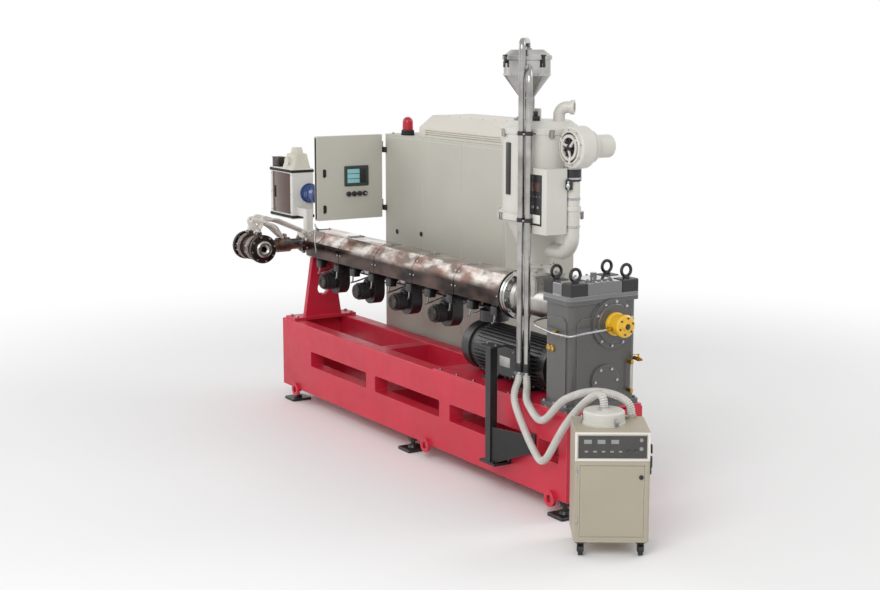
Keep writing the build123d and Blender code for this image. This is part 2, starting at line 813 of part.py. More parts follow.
# Cooling unit on the cabinet's roof, with a sloped front and a slotted left end.
roof_left = from_end(2670)
roof_length = 1120.0
roof_low_z = cabinet_height
roof_high = 146.0
roof_front_y = cabinet_front_y + 50
roof_back_y = cabinet_front_y + cabinet_depth - 50
with BuildPart() as cabinet_roof_unit:
    with BuildSketch(Plane.YZ.offset(roof_left)):
        with BuildLine():
            Polyline(
                (roof_front_y, roof_low_z),
                (roof_front_y, roof_low_z + 64),
                (roof_front_y + 110, roof_low_z + roof_high),
                (roof_back_y, roof_low_z + roof_high),
                (roof_back_y, roof_low_z),
                close=True,
            )
        make_face()
    extrude(amount=roof_length)
    with BuildSketch(facing_front(roof_front_y)):
        with Locations([(roof_left + roof_length / 2, roof_low_z + 18 + 14 * slot) for slot in range(3)]):
            SlotOverall(roof_length - 160, 7)
    extrude(amount=-10, mode=Mode.SUBTRACT)
    with BuildSketch(Plane.YZ.offset(roof_left)):
        with Locations([((roof_front_y + roof_back_y) / 2, roof_low_z + 24 + 20 * slot) for slot in range(4)]):
            SlotOverall(240, 9)
    extrude(amount=10, mode=Mode.SUBTRACT)
save(cabinet_roof_unit, "cabinet_roof_unit")

# Alarm lamp: a black foot and a domed lens.
lamp_x = from_end(2830)
lamp_y = cabinet_front_y + 50
with BuildPart() as alarm_light:
    with BuildSketch(Plane.XZ.offset(-lamp_y)):
        with BuildLine():
            Polyline(
                (lamp_x, cabinet_height),
                (lamp_x + 48, cabinet_height),
                (lamp_x + 44, cabinet_height + 36),
                (lamp_x + 38, cabinet_height + 40),
                (lamp_x + 37, cabinet_height + 93),
            )
            RadiusArc((lamp_x + 37, cabinet_height + 93), (lamp_x, cabinet_height + 130), -37)
            Line((lamp_x, cabinet_height + 130), (lamp_x, cabinet_height))
        make_face()
    revolve(axis=Axis((lamp_x, lamp_y, 0), (0, 0, 1)))
save(alarm_light, "alarm_light")

# The operator panel stands open at right angles to the cabinet's front. Its hinge axis lies in
# the middle of its thickness, so that it closes flat over the bay.
panel_clearance = 4.0
panel_x = cabinet_left_x - panel_clearance - panel_thickness
hinge_x = panel_x + panel_thickness / 2
hinge_y = cabinet_front_y - 14
panel_gap = 10.0
panel_y = hinge_y - panel_gap - panel_width / 2
panel_sheet = 4.0
hinge_pin_radius = 5.0
hinge_knuckle_radius = 9.0
hinge_heights = [panel_low_z + 90, panel_low_z + panel_height - 90]
with BuildPart() as operator_panel:
    with BuildSketch(Plane.YZ.offset(panel_x)):
        with Locations((panel_y, panel_mid_z)):
            RectangleRounded(panel_width, panel_height, 6)
    extrude(amount=panel_thickness)
    with BuildSketch(Plane.YZ.offset(panel_x)):
        with Locations((panel_y, panel_mid_z)):
            Rectangle(panel_width - 36, panel_height - 36)
    extrude(amount=panel_thickness - panel_sheet, mode=Mode.SUBTRACT)
    for z in hinge_heights:
        with BuildSketch(Plane.XY.offset(z + 1)):
            with Locations((hinge_x, hinge_y)):
                Circle(hinge_knuckle_radius)
            with Locations((hinge_x, hinge_y - 8)):
                Rectangle(8, 14)
            with Locations((hinge_x, hinge_y)):
                Circle(hinge_pin_radius + 0.06, mode=Mode.SUBTRACT)
        extrude(amount=38)
save(operator_panel, "operator_panel")

with BuildPart() as panel_hinges:
    for z in hinge_heights:
        with BuildSketch(Plane.XY.offset(z - 40)):
            with Locations((hinge_x, hinge_y)):
                Circle(hinge_pin_radius)
        extrude(amount=80)
        with BuildSketch(Plane.XY.offset(z - 40)):
            with Locations((hinge_x, hinge_y)):
                Circle(hinge_knuckle_radius)
            with Locations(((hinge_x + cabinet_left_x + 30) / 2, hinge_y)):
                Rectangle(cabinet_left_x + 30 - hinge_x, 8)
            with Locations((cabinet_left_x + 24, (hinge_y + cabinet_front_y) / 2)):
                Rectangle(12, cabinet_front_y - hinge_y)
        extrude(amount=40)
    add(control_cabinet.part, mode=Mode.SUBTRACT)
save(panel_hinges, "panel_hinges")

# Touch screen: a bezel with a sunk screen, and its housing behind the panel's sheet.
screen_width = 196.0
screen_height = 146.0
screen_y = from_front(362)
screen_z = 1680.0
panel_face_x = panel_x + panel_thickness
with BuildPart() as touch_screen:
    with BuildSketch(Plane.YZ.offset(panel_face_x)):
        with Locations((screen_y, screen_z)):
            RectangleRounded(screen_width, screen_height, 8)
    extrude(amount=9)
    chamfer(touch_screen.faces().sort_by(Axis.X)[-1].edges(), 3)
    with BuildSketch(Plane.YZ.offset(panel_face_x + 9)):
        with Locations((screen_y, screen_z)):
            Rectangle(screen_width - 44, screen_height - 44)
    extrude(amount=-3, mode=Mode.SUBTRACT)
save(touch_screen, "touch_screen")

# Push buttons and switches in a row below the screen.
with BuildPart() as panel_buttons:
    button_spots = [(screen_y - 66 + 44 * place, 1552) for place in range(4)]
    with BuildSketch(Plane.YZ.offset(panel_face_x)):
        with Locations(button_spots):
            Circle(17)
    extrude(amount=8)
    with BuildSketch(Plane.YZ.offset(panel_face_x + 8)):
        with Locations(button_spots):
            Circle(12)
    extrude(amount=16)
    chamfer(panel_buttons.faces().group_by(Axis.X)[-1].edges(), 2)
save(panel_buttons, "panel_buttons")

# Hopper dryer: slide gate, cone with its flange, hollow drum, domed lid.
with BuildPart() as dryer_base:
    with BuildSketch(Plane.XY.offset(throat_top_z)):
        with Locations((dryer_x, screw_y)):
            RectangleRounded(200, 200, 14)
    extrude(amount=16)
    with BuildSketch(Plane.XY.offset(throat_top_z + 16)):
        with Locations((dryer_x, screw_y)):
            Rectangle(130, 130)
        with Locations((dryer_x + 90, screw_y)):
            Rectangle(140, 60)
    extrude(amount=dryer_base_z - throat_top_z - 16)
save(dryer_base, "dryer_base")

ring_lip = 24.0
with BuildPart() as dryer_cone:
    with BuildSketch(Plane.XZ.offset(-screw_y)):
        with BuildLine():
            Polyline(
                (dryer_x, dryer_base_z),
                (dryer_x + 92, dryer_base_z),
                (dryer_x + 92, dryer_base_z + 14),
                (dryer_x + 74, dryer_base_z + 14),
                (dryer_x + 74, dryer_base_z + 26),
                (dryer_x + 205, dryer_ring_z - 40),
                (dryer_x + dryer_radius + ring_lip, dryer_ring_z - 26),
                (dryer_x + dryer_radius + ring_lip, dryer_ring_z),
                (dryer_x, dryer_ring_z),
                close=True,
            )
        make_face()
    revolve(axis=Axis((dryer_x, screw_y, 0), (0, 0, 1)))
save(dryer_cone, "dryer_cone")

with BuildPart() as dryer_drum:
    with BuildSketch(Plane.XZ.offset(-screw_y)):
        with BuildLine():
            Polyline(
                (dryer_x + dryer_radius - dryer_wall, dryer_ring_z),
                (dryer_x + dryer_radius + ring_lip - 4, dryer_ring_z),
                (dryer_x + dryer_radius + ring_lip - 4, dryer_ring_z + 8),
                (dryer_x + dryer_radius, dryer_ring_z + 14),
                (dryer_x + dryer_radius, dryer_top_z - 18),
                (dryer_x + dryer_radius + 8, dryer_top_z - 14),
                (dryer_x + dryer_radius + 8, dryer_top_z),
                (dryer_x + dryer_radius - dryer_wall, dryer_top_z),
                close=True,
            )
        make_face()
    revolve(axis=Axis((dryer_x, screw_y, 0), (0, 0, 1)))
save(dryer_drum, "dryer_drum")

receiver_x = dryer_x - 60
receiver_y = screw_y - 60
lid_top_z = dryer_top_z + 56
with BuildPart() as dryer_lid:
    with BuildSketch(Plane.XZ.offset(-screw_y)):
        with BuildLine():
            Polyline(
                (dryer_x, dryer_top_z),
                (dryer_x + dryer_radius + 10, dryer_top_z),
                (dryer_x + dryer_radius + 10, dryer_top_z + 16),
                (dryer_x + dryer_radius - 8, dryer_top_z + 24),
                (dryer_x + 175, lid_top_z),
                (dryer_x, lid_top_z),
                close=True,
            )
        make_face()
    revolve(axis=Axis((dryer_x, screw_y, 0), (0, 0, 1)))
    with BuildSketch(Plane.XY.offset(lid_top_z)):
        with Locations((dryer_x - 120, screw_y + 45)):
            Circle(34)
    extrude(amount=62)
    fillet(dryer_lid.faces().sort_by(Axis.Z)[-1].edges(), 6)
save(dryer_lid, "dryer_lid")

# Exhaust elbow on the lid, with a bell mouth.
exhaust_radius = 34.0
exhaust_x = dryer_x + 95
exhaust_y = screw_y + 60
with BuildPart() as dryer_exhaust:
    with BuildLine() as exhaust_line:
        FilletPolyline(
            (exhaust_x, exhaust_y, lid_top_z),
            (exhaust_x, exhaust_y, lid_top_z + 78),
            (exhaust_x + 66, exhaust_y + 60, lid_top_z + 78),
            radius=48,
        )
    with BuildSketch(Plane.XY.offset(lid_top_z)):
        with Locations((exhaust_x, exhaust_y)):
            Circle(exhaust_radius)
    sweep()
    with BuildSketch(Plane(exhaust_line.line @ 1, z_dir=exhaust_line.line % 1)):
        Circle(exhaust_radius + 8)
    extrude(amount=-22)
    with BuildSketch(Plane(exhaust_line.line @ 1, z_dir=exhaust_line.line % 1)):
        Circle(exhaust_radius - 6)
    extrude(amount=-20, mode=Mode.SUBTRACT)
save(dryer_exhaust, "dryer_exhaust")

# Hot-air blower beside the drum: volute with an inlet ring in front and its motor behind.
blower_x = dryer_x + 355
blower_y = screw_y + 55
dryer_blower_z = 2060.0
blower_wheel = 120.0
with BuildPart() as dryer_blower:
    with BuildSketch(facing_front(blower_y)):
        with Locations((blower_x, dryer_blower_z)):
            Circle(blower_wheel)
    extrude(amount=100)
    fillet(dryer_blower.edges().filter_by(GeomType.CIRCLE), 12)
    with BuildSketch(facing_front(blower_y - 100)):
        with Locations((blower_x, dryer_blower_z)):
            Circle(74)
            Circle(58, mode=Mode.SUBTRACT)
    extrude(amount=16)
    with BuildSketch(facing_front(blower_y + 40)):
        with Locations((blower_x, dryer_blower_z)):
            Circle(92)
    extrude(amount=40)
    with BuildSketch(facing_front(blower_y + 175)):
        with Locations((blower_x, dryer_blower_z)):
            Circle(66)
    extrude(amount=135)
    fillet(dryer_blower.faces().sort_by(Axis.Y)[-1].edges(), 14)
    with BuildSketch(Plane.XY.offset(dryer_blower_z - 40)):
        with Locations((blower_x - 100, screw_y + 5)):
            Rectangle(100, 60)
    extrude(amount=80)
    with BuildSketch(Plane.XY.offset(dryer_blower_z - 60)):
        with Locations((dryer_x, screw_y)):
            Circle(dryer_radius)
    extrude(amount=120, mode=Mode.SUBTRACT)
save(dryer_blower, "dryer_blower")

# Hot-air duct from the blower down to the cone.
duct_x = dryer_x + 306
duct_y = screw_y + 5
duct_radius = 45.0
duct_low_z = 1450.0
with BuildPart() as dryer_duct:
    with BuildLine():
        FilletPolyline(
            (duct_x, duct_y, dryer_blower_z),
            (duct_x, duct_y, duct_low_z),
            (dryer_x + 60, duct_y, duct_low_z),
            radius=100,
        )
    with BuildSketch(Plane((duct_x, duct_y, dryer_blower_z), z_dir=(0, 0, -1))):
        Circle(duct_radius)
    sweep()
    with BuildSketch(Plane.XY.offset(1700)):
        with Locations((duct_x, duct_y)):
            Circle(duct_radius + 7)
    extrude(amount=22)
    add(dryer_blower.part, mode=Mode.SUBTRACT)
    add(dryer_cone.part, mode=Mode.SUBTRACT)
    add(dryer_drum.part, mode=Mode.SUBTRACT)
save(dryer_duct, "dryer_duct")

# Control box on the dryer's front right side, with a sunk panel.
control_low_z = 1570.0
control_height = 370.0
control_x = dryer_x + 235
control_front_y = screw_y - 197
with BuildPart() as dryer_control_box:
    with BuildSketch(Plane.XY.offset(control_low_z)):
        with Locations((control_x, control_front_y + 75)):
            RectangleRounded(200, 150, 8)
    extrude(amount=control_height)
    with BuildSketch(facing_front(control_front_y)):
        with Locations((control_x - 8, control_low_z + control_height / 2 + 6)):
            Rectangle(136, 290)
    extrude(amount=-3, mode=Mode.SUBTRACT)
    with BuildSketch(Plane.XY.offset(dryer_ring_z)):
        with Locations((dryer_x, screw_y)):
            Circle(dryer_radius + ring_lip)
    extrude(amount=18, mode=Mode.SUBTRACT)
    with BuildSketch(Plane.XY.offset(dryer_ring_z)):
        with Locations((dryer_x, screw_y)):
            Circle(dryer_radius)
    extrude(amount=300, mode=Mode.SUBTRACT)
    with BuildSketch(Plane.XY.offset(control_low_z)):
        with Locations((dryer_x, screw_y)):
            Circle(dryer_radius + ring_lip)
    extrude(amount=dryer_ring_z - control_low_z, mode=Mode.SUBTRACT)
save(dryer_control_box, "dryer_control_box")

# Vacuum receiver on the dryer's lid: neck, cone, drum with a clamp ring, domed top.
with BuildPart() as vacuum_receiver:
    with BuildSketch(Plane.XZ.offset(-receiver_y)):
        with BuildLine():
            Polyline(
                (receiver_x, lid_top_z),
                (receiver_x + 75, lid_top_z),
                (receiver_x + 75, lid_top_z + 12),
                (receiver_x + 46, lid_top_z + 12),
                (receiver_x + 46, 2330),
                (receiver_x + receiver_radius - 4, 2452),
                (receiver_x + receiver_radius - 4, 2540),
                (receiver_x + receiver_radius + 4, 2544),
                (receiver_x + receiver_radius + 4, 2566),
                (receiver_x + receiver_radius - 8, 2572),
                (receiver_x + 96, receiver_top_z),
                (receiver_x, receiver_top_z),
                close=True,
            )
        make_face()
    revolve(axis=Axis((receiver_x, receiver_y, 0), (0, 0, 1)))
save(vacuum_receiver, "vacuum_receiver")

# Risers that come up in front of the dryer, one to the receiver's top and one to its side.
riser_low_z = 760.0
riser_radius = 19.0
riser_turn = 42.0
inlet_z = 2500.0
vacuum_riser = (dryer_x + 150, screw_y - 240)
material_riser = (dryer_x + 198, screw_y - 222)
with BuildPart() as vacuum_riser_pipe:
    with BuildLine():
        FilletPolyline(
            (*vacuum_riser, riser_low_z),
            (*vacuum_riser, receiver_top_z + 50),
            (receiver_x, receiver_y, receiver_top_z + 50),
            (receiver_x, receiver_y, receiver_top_z),
            radius=riser_turn,
        )
    with BuildSketch(Plane.XY.offset(riser_low_z)):
        with Locations(vacuum_riser):
            Circle(riser_radius)
    sweep()
    with BuildSketch(Plane.XY.offset(receiver_top_z)):
        with Locations((receiver_x, receiver_y)):
            Circle(riser_radius + 8)
    extrude(amount=8)
save(vacuum_riser_pipe, "vacuum_riser_pipe")

with BuildPart() as material_riser_pipe:
    with BuildLine():
        FilletPolyline(
            (*material_riser, riser_low_z),
            (*material_riser, inlet_z),
            (receiver_x, receiver_y, inlet_z),
            radius=80,
        )
    with BuildSketch(Plane.XY.offset(riser_low_z)):
        with Locations(material_riser):
            Circle(riser_radius)
    sweep()
    add(vacuum_receiver.part, mode=Mode.SUBTRACT)
save(material_riser_pipe, "material_riser_pipe")

# Stays that hold the risers to the cone's ring and to the drum's rim.
stay_middle = ((vacuum_riser[0] + material_riser[0]) / 2, (vacuum_riser[1] + material_riser[1]) / 2)
with BuildPart() as riser_stays:
    for low_z in (dryer_ring_z - 24, dryer_top_z - 12):
        with BuildSketch(Plane.XY.offset(low_z)):
            with Locations((stay_middle[0] - 12, stay_middle[1] + 14)):
                Rectangle(92, 62, rotation=20)
        extrude(amount=10)
    for solid in (dryer_cone, dryer_drum, dryer_control_box, vacuum_riser_pipe, material_riser_pipe):
        add(solid.part, mode=Mode.SUBTRACT)
save(riser_stays, "riser_stays")

# Suction unit beside the gearbox, turned towards the operator: cabinet, sloped panel, filter
# canister and swivel casters. Its own plane has x across its front and y to its back.
unit_plane = Plane(
    (from_end(-486), from_front(-66), 0),
    x_dir=(cos(radians(unit_turn)), sin(radians(unit_turn)), 0),
)
unit_front = Plane(unit_plane.origin, x_dir=unit_plane.x_dir, z_dir=-unit_plane.y_dir)
panel_band = 150.0
door_inset = 26.0
return_port = (125.0, 130.0)
port_rise = 10.0
with BuildPart() as loader_cabinet:
    with BuildSketch(unit_plane.offset(unit_low_z)):
        RectangleRounded(unit_width, unit_depth, 10)
    extrude(amount=unit_top_z - unit_low_z)
    with BuildSketch(unit_front.offset(unit_depth / 2)):
        with Locations((0, unit_top_z - panel_band / 2 - 4)):
            Rectangle(unit_width - 36, panel_band - 30)
    extrude(amount=-8, mode=Mode.SUBTRACT)
    with BuildSketch(unit_front.offset(unit_depth / 2)):
        with Locations((0, (unit_low_z + unit_top_z - panel_band) / 2)):
            Rectangle(unit_width - 2 * door_inset, unit_top_z - unit_low_z - panel_band - 2 * door_inset)
            Rectangle(
                unit_width - 2 * door_inset - 12,
                unit_top_z - unit_low_z - panel_band - 2 * door_inset - 12,
                mode=Mode.SUBTRACT,
            )
    extrude(amount=-6, mode=Mode.SUBTRACT)
    unit_side = Plane(unit_plane.origin, x_dir=unit_plane.y_dir, z_dir=unit_plane.x_dir)
    with BuildSketch(unit_side.offset(unit_width / 2)):
        with Locations([(0, 190 + 22 * slot) for slot in range(8)]):
            SlotOverall(200, 9)
    extrude(amount=-8, mode=Mode.SUBTRACT)
    with BuildSketch(unit_plane.offset(unit_top_z)):
        with Locations(return_port):
            Circle(hose_radius + 5)
    extrude(amount=port_rise + 10)
save(loader_cabinet, "loader_cabinet")

with BuildPart() as loader_control_panel:
    with BuildSketch(unit_front.offset(unit_depth / 2 - 8)):
        with Locations((0, unit_top_z - panel_band / 2 - 4)):
            Rectangle(unit_width - 36, panel_band - 30)
    extrude(amount=5)
    with BuildSketch(unit_front.offset(unit_depth / 2 - 3)):
        with Locations([(118 - 34 * place, unit_top_z - 104) for place in range(2)]):
            Circle(9)
    extrude(amount=9)
save(loader_control_panel, "loader_control_panel")

canister_top_z = 742.0
canister_place = (-30.0, 30.0)
with BuildPart() as loader_canister:
    with BuildSketch(unit_plane.offset(unit_top_z)):
        with Locations(canister_place):
            Circle(110)
    extrude(amount=canister_top_z - unit_top_z)
    fillet(loader_canister.faces().sort_by(Axis.Z)[-1].edges(), 14)
    with BuildSketch(unit_plane.offset(unit_top_z)):
        with Locations(canister_place):
            Circle(116)
    extrude(amount=12)
    with BuildSketch(unit_plane.offset(canister_top_z)):
        with Locations(canister_place):
            Circle(27)
    extrude(amount=port_rise)
save(loader_canister, "loader_canister")

# Swivel casters: mounting plate, fork and wheel, joined at the axle.
wheel_radius = 29.0
wheel_width = 24.0
fork_thickness = 4.0
caster_spots = GridLocations(unit_width - 76, unit_depth - 76, 2, 2)
with BuildPart() as loader_casters:
    with BuildSketch(unit_plane.offset(unit_low_z - 6)):
        with caster_spots:
            RectangleRounded(62, 62, 6)
    extrude(amount=6)
    with BuildSketch(unit_plane.offset(unit_low_z - 14)):
        with caster_spots:
            Circle(22)
    extrude(amount=8)
    for side in (-1, 1):
        with BuildSketch(unit_plane.offset(wheel_radius - 8)):
            with caster_spots:
                with Locations((side * (wheel_width / 2 + fork_thickness / 2 + 1), 0)):
                    Rectangle(fork_thickness, 34)
        extrude(amount=unit_low_z - 14 - wheel_radius + 8)
    with BuildSketch(unit_plane.offset(unit_low_z - 18)):
        with caster_spots:
            Rectangle(wheel_width + 2 + 2 * fork_thickness, 34)
    extrude(amount=4)
    unit_side = Plane(unit_plane.origin, x_dir=unit_plane.y_dir, z_dir=unit_plane.x_dir)
    for spot in caster_spots:
        across, back = spot.position.X, spot.position.Y
        with BuildSketch(unit_side.offset(across - wheel_width / 2)):
            with Locations((back, wheel_radius)):
                Circle(wheel_radius)
        extrude(amount=wheel_width)
        with BuildSketch(unit_side.offset(across - wheel_width / 2 - 6)):
            with Locations((back, wheel_radius)):
                Circle(6)
        extrude(amount=wheel_width + 12)
save(loader_casters, "loader_casters")

# Black bracket on the frame's front that holds a feed rail in front of the machine.
bracket_x = from_end(610)
bracket_y = from_front(-90)
bracket_top_z = 910.0
with BuildPart() as rail_bracket:
    with BuildSketch(Plane.XY.offset(214)):
        with Locations((bracket_x, bracket_y)):
            Rectangle(50, 50)
    extrude(amount=bracket_top_z - 10 - 214)
    with BuildSketch(Plane.XY.offset(200)):
        with Locations((bracket_x, (frame_front_y + bracket_y - 30) / 2)):
            Rectangle(160, frame_front_y - bracket_y + 30)
    extrude(amount=14)
    with BuildSketch(facing_front(frame_front_y)):
        with Locations((bracket_x, 250)):
            Rectangle(160, 100)
    extrude(amount=12)
    for side in (-1, 1):
        with BuildSketch(Plane.YZ.offset(bracket_x + side * 40 - 5)):
            with BuildLine():
                Polyline(
                    (frame_front_y - 12, 214),
                    (frame_front_y - 12, 300),
                    (bracket_y - 24, 214),
                    close=True,
                )
            make_face()
        extrude(amount=10)
    with BuildSketch(Plane.XY.offset(bracket_top_z - 10)):
        with Locations((bracket_x, bracket_y)):
            RectangleRounded(120, 90, 6)
    extrude(amount=10)
save(rail_bracket, "rail_bracket")

# Clear hoses that hang from the risers. The first goes up and over into the canister's port,
# the second passes behind the canister to a port on the unit's back.
port_z = canister_top_z + port_rise
canister_centre = unit_plane.from_local_coords((*canister_place, port_z))
vacuum_hose_route = [
    (*vacuum_riser, riser_low_z),
    (*vacuum_riser, 718),
    (from_end(482), from_front(-6), 672),
    (from_end(462), from_front(-32), 622),
    (from_end(425), from_front(-42), 570),
    (from_end(350), from_front(-54), 500),
    (from_end(270), from_front(-64), 425),
    (from_end(195), from_front(-70), 362),
    (from_end(128), from_front(-74), 318),
    (from_end(66), from_front(-76), 352),
    (from_end(15), from_front(-76), 425),
    (from_end(-45), from_front(-75), 510),
    (from_end(-110), from_front(-75), 590),
    (from_end(-180), from_front(-75), 662),
    (from_end(-255), from_front(-75), 728),
    (from_end(-318), from_front(-75), 775),
    (from_end(-362), from_front(-75), 804),
    (from_end(-400), from_front(-75), 818),
    (from_end(-431), from_front(-75), 807),
    (canister_centre.X, canister_centre.Y, 779),
    (canister_centre.X, canister_centre.Y, port_z),
]
vacuum_hose = hose(vacuum_hose_route, hose_radius)
save(vacuum_hose, "vacuum_hose")

return_centre = unit_plane.from_local_coords((*return_port, unit_top_z))
material_hose_route = [
    (*material_riser, riser_low_z),
    (*material_riser, 716),
    (from_end(426), from_front(36), 680),
    (from_end(392), from_front(8), 654),
    (from_end(336), from_front(-30), 622),
    (from_end(268), from_front(-44), 588),
    (from_end(215), from_front(-53), 562),
    (from_end(160), from_front(-59), 549),
    (from_end(108), from_front(-60), 566),
    (from_end(56), from_front(-60), 610),
    (from_end(4), from_front(-59), 662),
    (from_end(-50), from_front(-57), 708),
    (from_end(-135), from_front(-48), 750),
    (from_end(-212), from_front(-30), 783),
    (from_end(-288), from_front(0), 799),
    (from_end(-350), from_front(42), 795),
    (from_end(-402), from_front(80), 776),
    (return_centre.X, return_centre.Y, 738),
    (return_centre.X, return_centre.Y, unit_top_z + port_rise + 10),
]
material_hose = hose(material_hose_route, hose_radius)
save(material_hose, "material_hose")
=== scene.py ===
import math
from itertools import product

import bmesh
import bpy
from bpy.props import FloatProperty, FloatVectorProperty, PointerProperty
from mathutils import Matrix, Vector


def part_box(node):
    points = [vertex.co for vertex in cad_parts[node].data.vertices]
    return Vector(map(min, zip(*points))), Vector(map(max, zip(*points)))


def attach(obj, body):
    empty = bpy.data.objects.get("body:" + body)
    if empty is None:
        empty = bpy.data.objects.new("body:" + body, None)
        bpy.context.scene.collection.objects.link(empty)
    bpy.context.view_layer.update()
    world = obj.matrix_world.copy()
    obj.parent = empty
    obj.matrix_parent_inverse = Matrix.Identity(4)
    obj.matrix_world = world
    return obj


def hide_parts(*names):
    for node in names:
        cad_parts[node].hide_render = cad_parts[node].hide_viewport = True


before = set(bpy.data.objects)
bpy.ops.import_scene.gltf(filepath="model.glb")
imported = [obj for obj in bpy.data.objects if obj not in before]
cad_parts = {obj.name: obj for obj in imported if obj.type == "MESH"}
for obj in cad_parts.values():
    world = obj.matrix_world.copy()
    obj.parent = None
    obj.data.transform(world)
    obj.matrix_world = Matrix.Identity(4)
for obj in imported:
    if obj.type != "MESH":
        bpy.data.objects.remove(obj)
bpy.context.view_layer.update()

bl_info = {
    "name": "Single-screw extruder",
    "version": (1, 0, 0),
    "blender": (4, 5, 0),
    "location": "View3D > Sidebar > Extruder",
    "description": "Dresses a single-screw extruder with its finishes, hoses and fittings",
    "category": "Object",
}

# Millimetres are turned to Blender's metres in one place.
MM = 0.001
MACHINE = "machine"
DOOR = "panel_door"
TO_OPERATOR = (0, -1, 0)
TO_DRIVE_END = (1, 0, 0)
TO_DIE_END = (-1, 0, 0)
UPWARD = (0, 0, 1)
DOWNWARD = (0, 0, -1)

# The gearbox's outer face and the frame's front face are what every place is measured from.
END_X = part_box("gearbox_housing")[1][0]
FRONT_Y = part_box("front_side_frame")[0][1]

# Places in mm: distance from the gearbox's outer face, depth behind the frame's front, height.
SCREW_Y = 265.0
SCREW_Z = 1140.0
ZONE_CENTRES = [860.0 + 512.0 * (zone + 0.5) for zone in range(5)]
PUMP = (315, 1095)
GAUGE_DEPTH = 432
VALVE_DEPTH = 474
DIE_FACE = 3780
CROSSHEAD_DEPTH = -200
CROSSHEAD_HEATERS = (3692, 3548)
DRYER = 640
DUCT = (334, SCREW_Y + 5)
RISERS = ((490, 25), (442, 43))
BRACKET = 610

# Outer radii in metres that rings and sleeves fit round, with a little clearance.
DUCT_RADIUS = 0.0455
DUCT_SLEEVE_RADIUS = 0.0515
RISER_RADIUS = 0.0193

# The suction unit stands turned on the floor. Its canister and return port are in mm on its own plan.
UNIT_TURN = math.radians(57.7)
CANISTER = (-30, 30)
RETURN_PORT = (125, 130)


def at(distance, depth, height):
    """A point in mm: left of the gearbox's outer face, behind the frame's front, above the floor."""
    return Vector((END_X - distance * MM, FRONT_Y + depth * MM, height * MM))


def on_unit(across, back, height):
    """A point in mm on the suction unit's plan: across its front, towards its back, above the floor."""
    turn = Matrix.Rotation(UNIT_TURN, 3, "Z")
    return at(-486, -66, height) + turn @ Vector((across * MM, back * MM, 0))


def node_box(name):
    """Lower corner, upper corner and middle of a solid, in metres."""
    low, high = (Vector(corner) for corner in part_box(name))
    return low, high, (low + high) / 2


def headings(degrees):
    """An angle about the vertical in radians, the way outwards there and the way sideways."""
    turn = math.radians(degrees)
    out = Vector((math.cos(turn), math.sin(turn), 0))
    return turn, out, Vector((-out.y, out.x, 0))


def linear(hex_colour):
    """An sRGB hex colour as linear red, green, blue."""
    values = [int(hex_colour[place : place + 2], 16) / 255 for place in (1, 3, 5)]
    return tuple(v / 12.92 if v <= 0.04045 else ((v + 0.055) / 1.055) ** 2.4 for v in values)


def coat_colour(name, description, hex_colour):
    """A colour setting for the sidebar."""
    return FloatVectorProperty(
        name=name, description=description, subtype="COLOR", size=3, min=0, max=1,
        default=linear(hex_colour),
    )


class EXTRUDER_PG_colours(bpy.types.PropertyGroup):
    frame_red: coat_colour("Frame enamel", "Enamel on the welded base frame", "#CE203C")
    gearbox_grey: coat_colour("Gearbox enamel", "Enamel on the cast gearbox", "#575655")
    cabinet_grey: coat_colour("Cabinet coat", "Powder coat on the cabinet and its door", "#BFBEB3")
    dryer_cream: coat_colour("Dryer coat", "Powder coat on the hopper dryer", "#D3D1C9")
    unit_beige: coat_colour("Suction unit coat", "Powder coat on the suction unit", "#AEA592")
    pump_yellow: coat_colour("Pump enamel", "Enamel on the oil pump", "#F0BE22")


class EXTRUDER_PG_sizes(bpy.types.PropertyGroup):
    hose_diameter: FloatProperty(
        name="Hose diameter", description="Outer diameter of the clear hoses", default=0.044,
        min=0.02, max=0.08, unit="LENGTH", subtype="DISTANCE",
    )
    hose_rib_pitch: FloatProperty(
        name="Hose rib pitch", description="Distance from rib to rib along a hose", default=0.0105,
        min=0.004, max=0.03, unit="LENGTH", subtype="DISTANCE",
    )


class EXTRUDER_PG_stage(bpy.types.PropertyGroup):
    lens: FloatProperty(
        name="Lens", description="Focal length on a 36 mm sensor", default=64.0, min=10, max=200,
        unit="CAMERA",
    )
    key_power: FloatProperty(
        name="Key lamp", description="Power of the large lamp over the operator's side",
        default=330.0, min=0, max=3000, unit="POWER",
    )
    ambient: FloatProperty(
        name="Room light", description="Strength of the even light from all round", default=0.62,
        min=0, max=2,
    )


# Node material helpers.


def add_node(tree, kind, inputs=None, **settings):
    """Adds a node, sets its properties, and sets or links its inputs."""
    made = tree.nodes.new(kind)
    for name, value in settings.items():
        setattr(made, name, value)
    for name, value in (inputs or {}).items():
        if isinstance(value, bpy.types.NodeSocket):
            tree.links.new(value, made.inputs[name])
        else:
            made.inputs[name].default_value = value
    return made


def start_material(name):
    """An empty node material with its tree and its object coordinates."""
    material = bpy.data.materials.new(name)
    material.use_nodes = True
    tree = material.node_tree
    tree.nodes.clear()
    place = add_node(tree, "ShaderNodeTexCoord").outputs["Object"]
    return material, tree, place


def close_material(tree, surface):
    """Links the surface to the output."""
    add_node(tree, "ShaderNodeOutputMaterial", {"Surface": surface})


def principled(tree, inputs):
    """Closes a material with one surface that has these inputs."""
    close_material(tree, add_node(tree, "ShaderNodeBsdfPrincipled", inputs).outputs["BSDF"])


def grain(tree, place, size_mm, detail=3.0, stretch=None):
    """Noise whose features are about size_mm across, stretched by factors along the axes."""
    if stretch:
        mapping = add_node(tree, "ShaderNodeMapping", {"Vector": place, "Scale": stretch})
        place = mapping.outputs["Vector"]
    noise = add_node(
        tree, "ShaderNodeTexNoise", {"Vector": place, "Scale": 1 / (size_mm * MM), "Detail": detail}
    )
    return noise.outputs["Fac"]


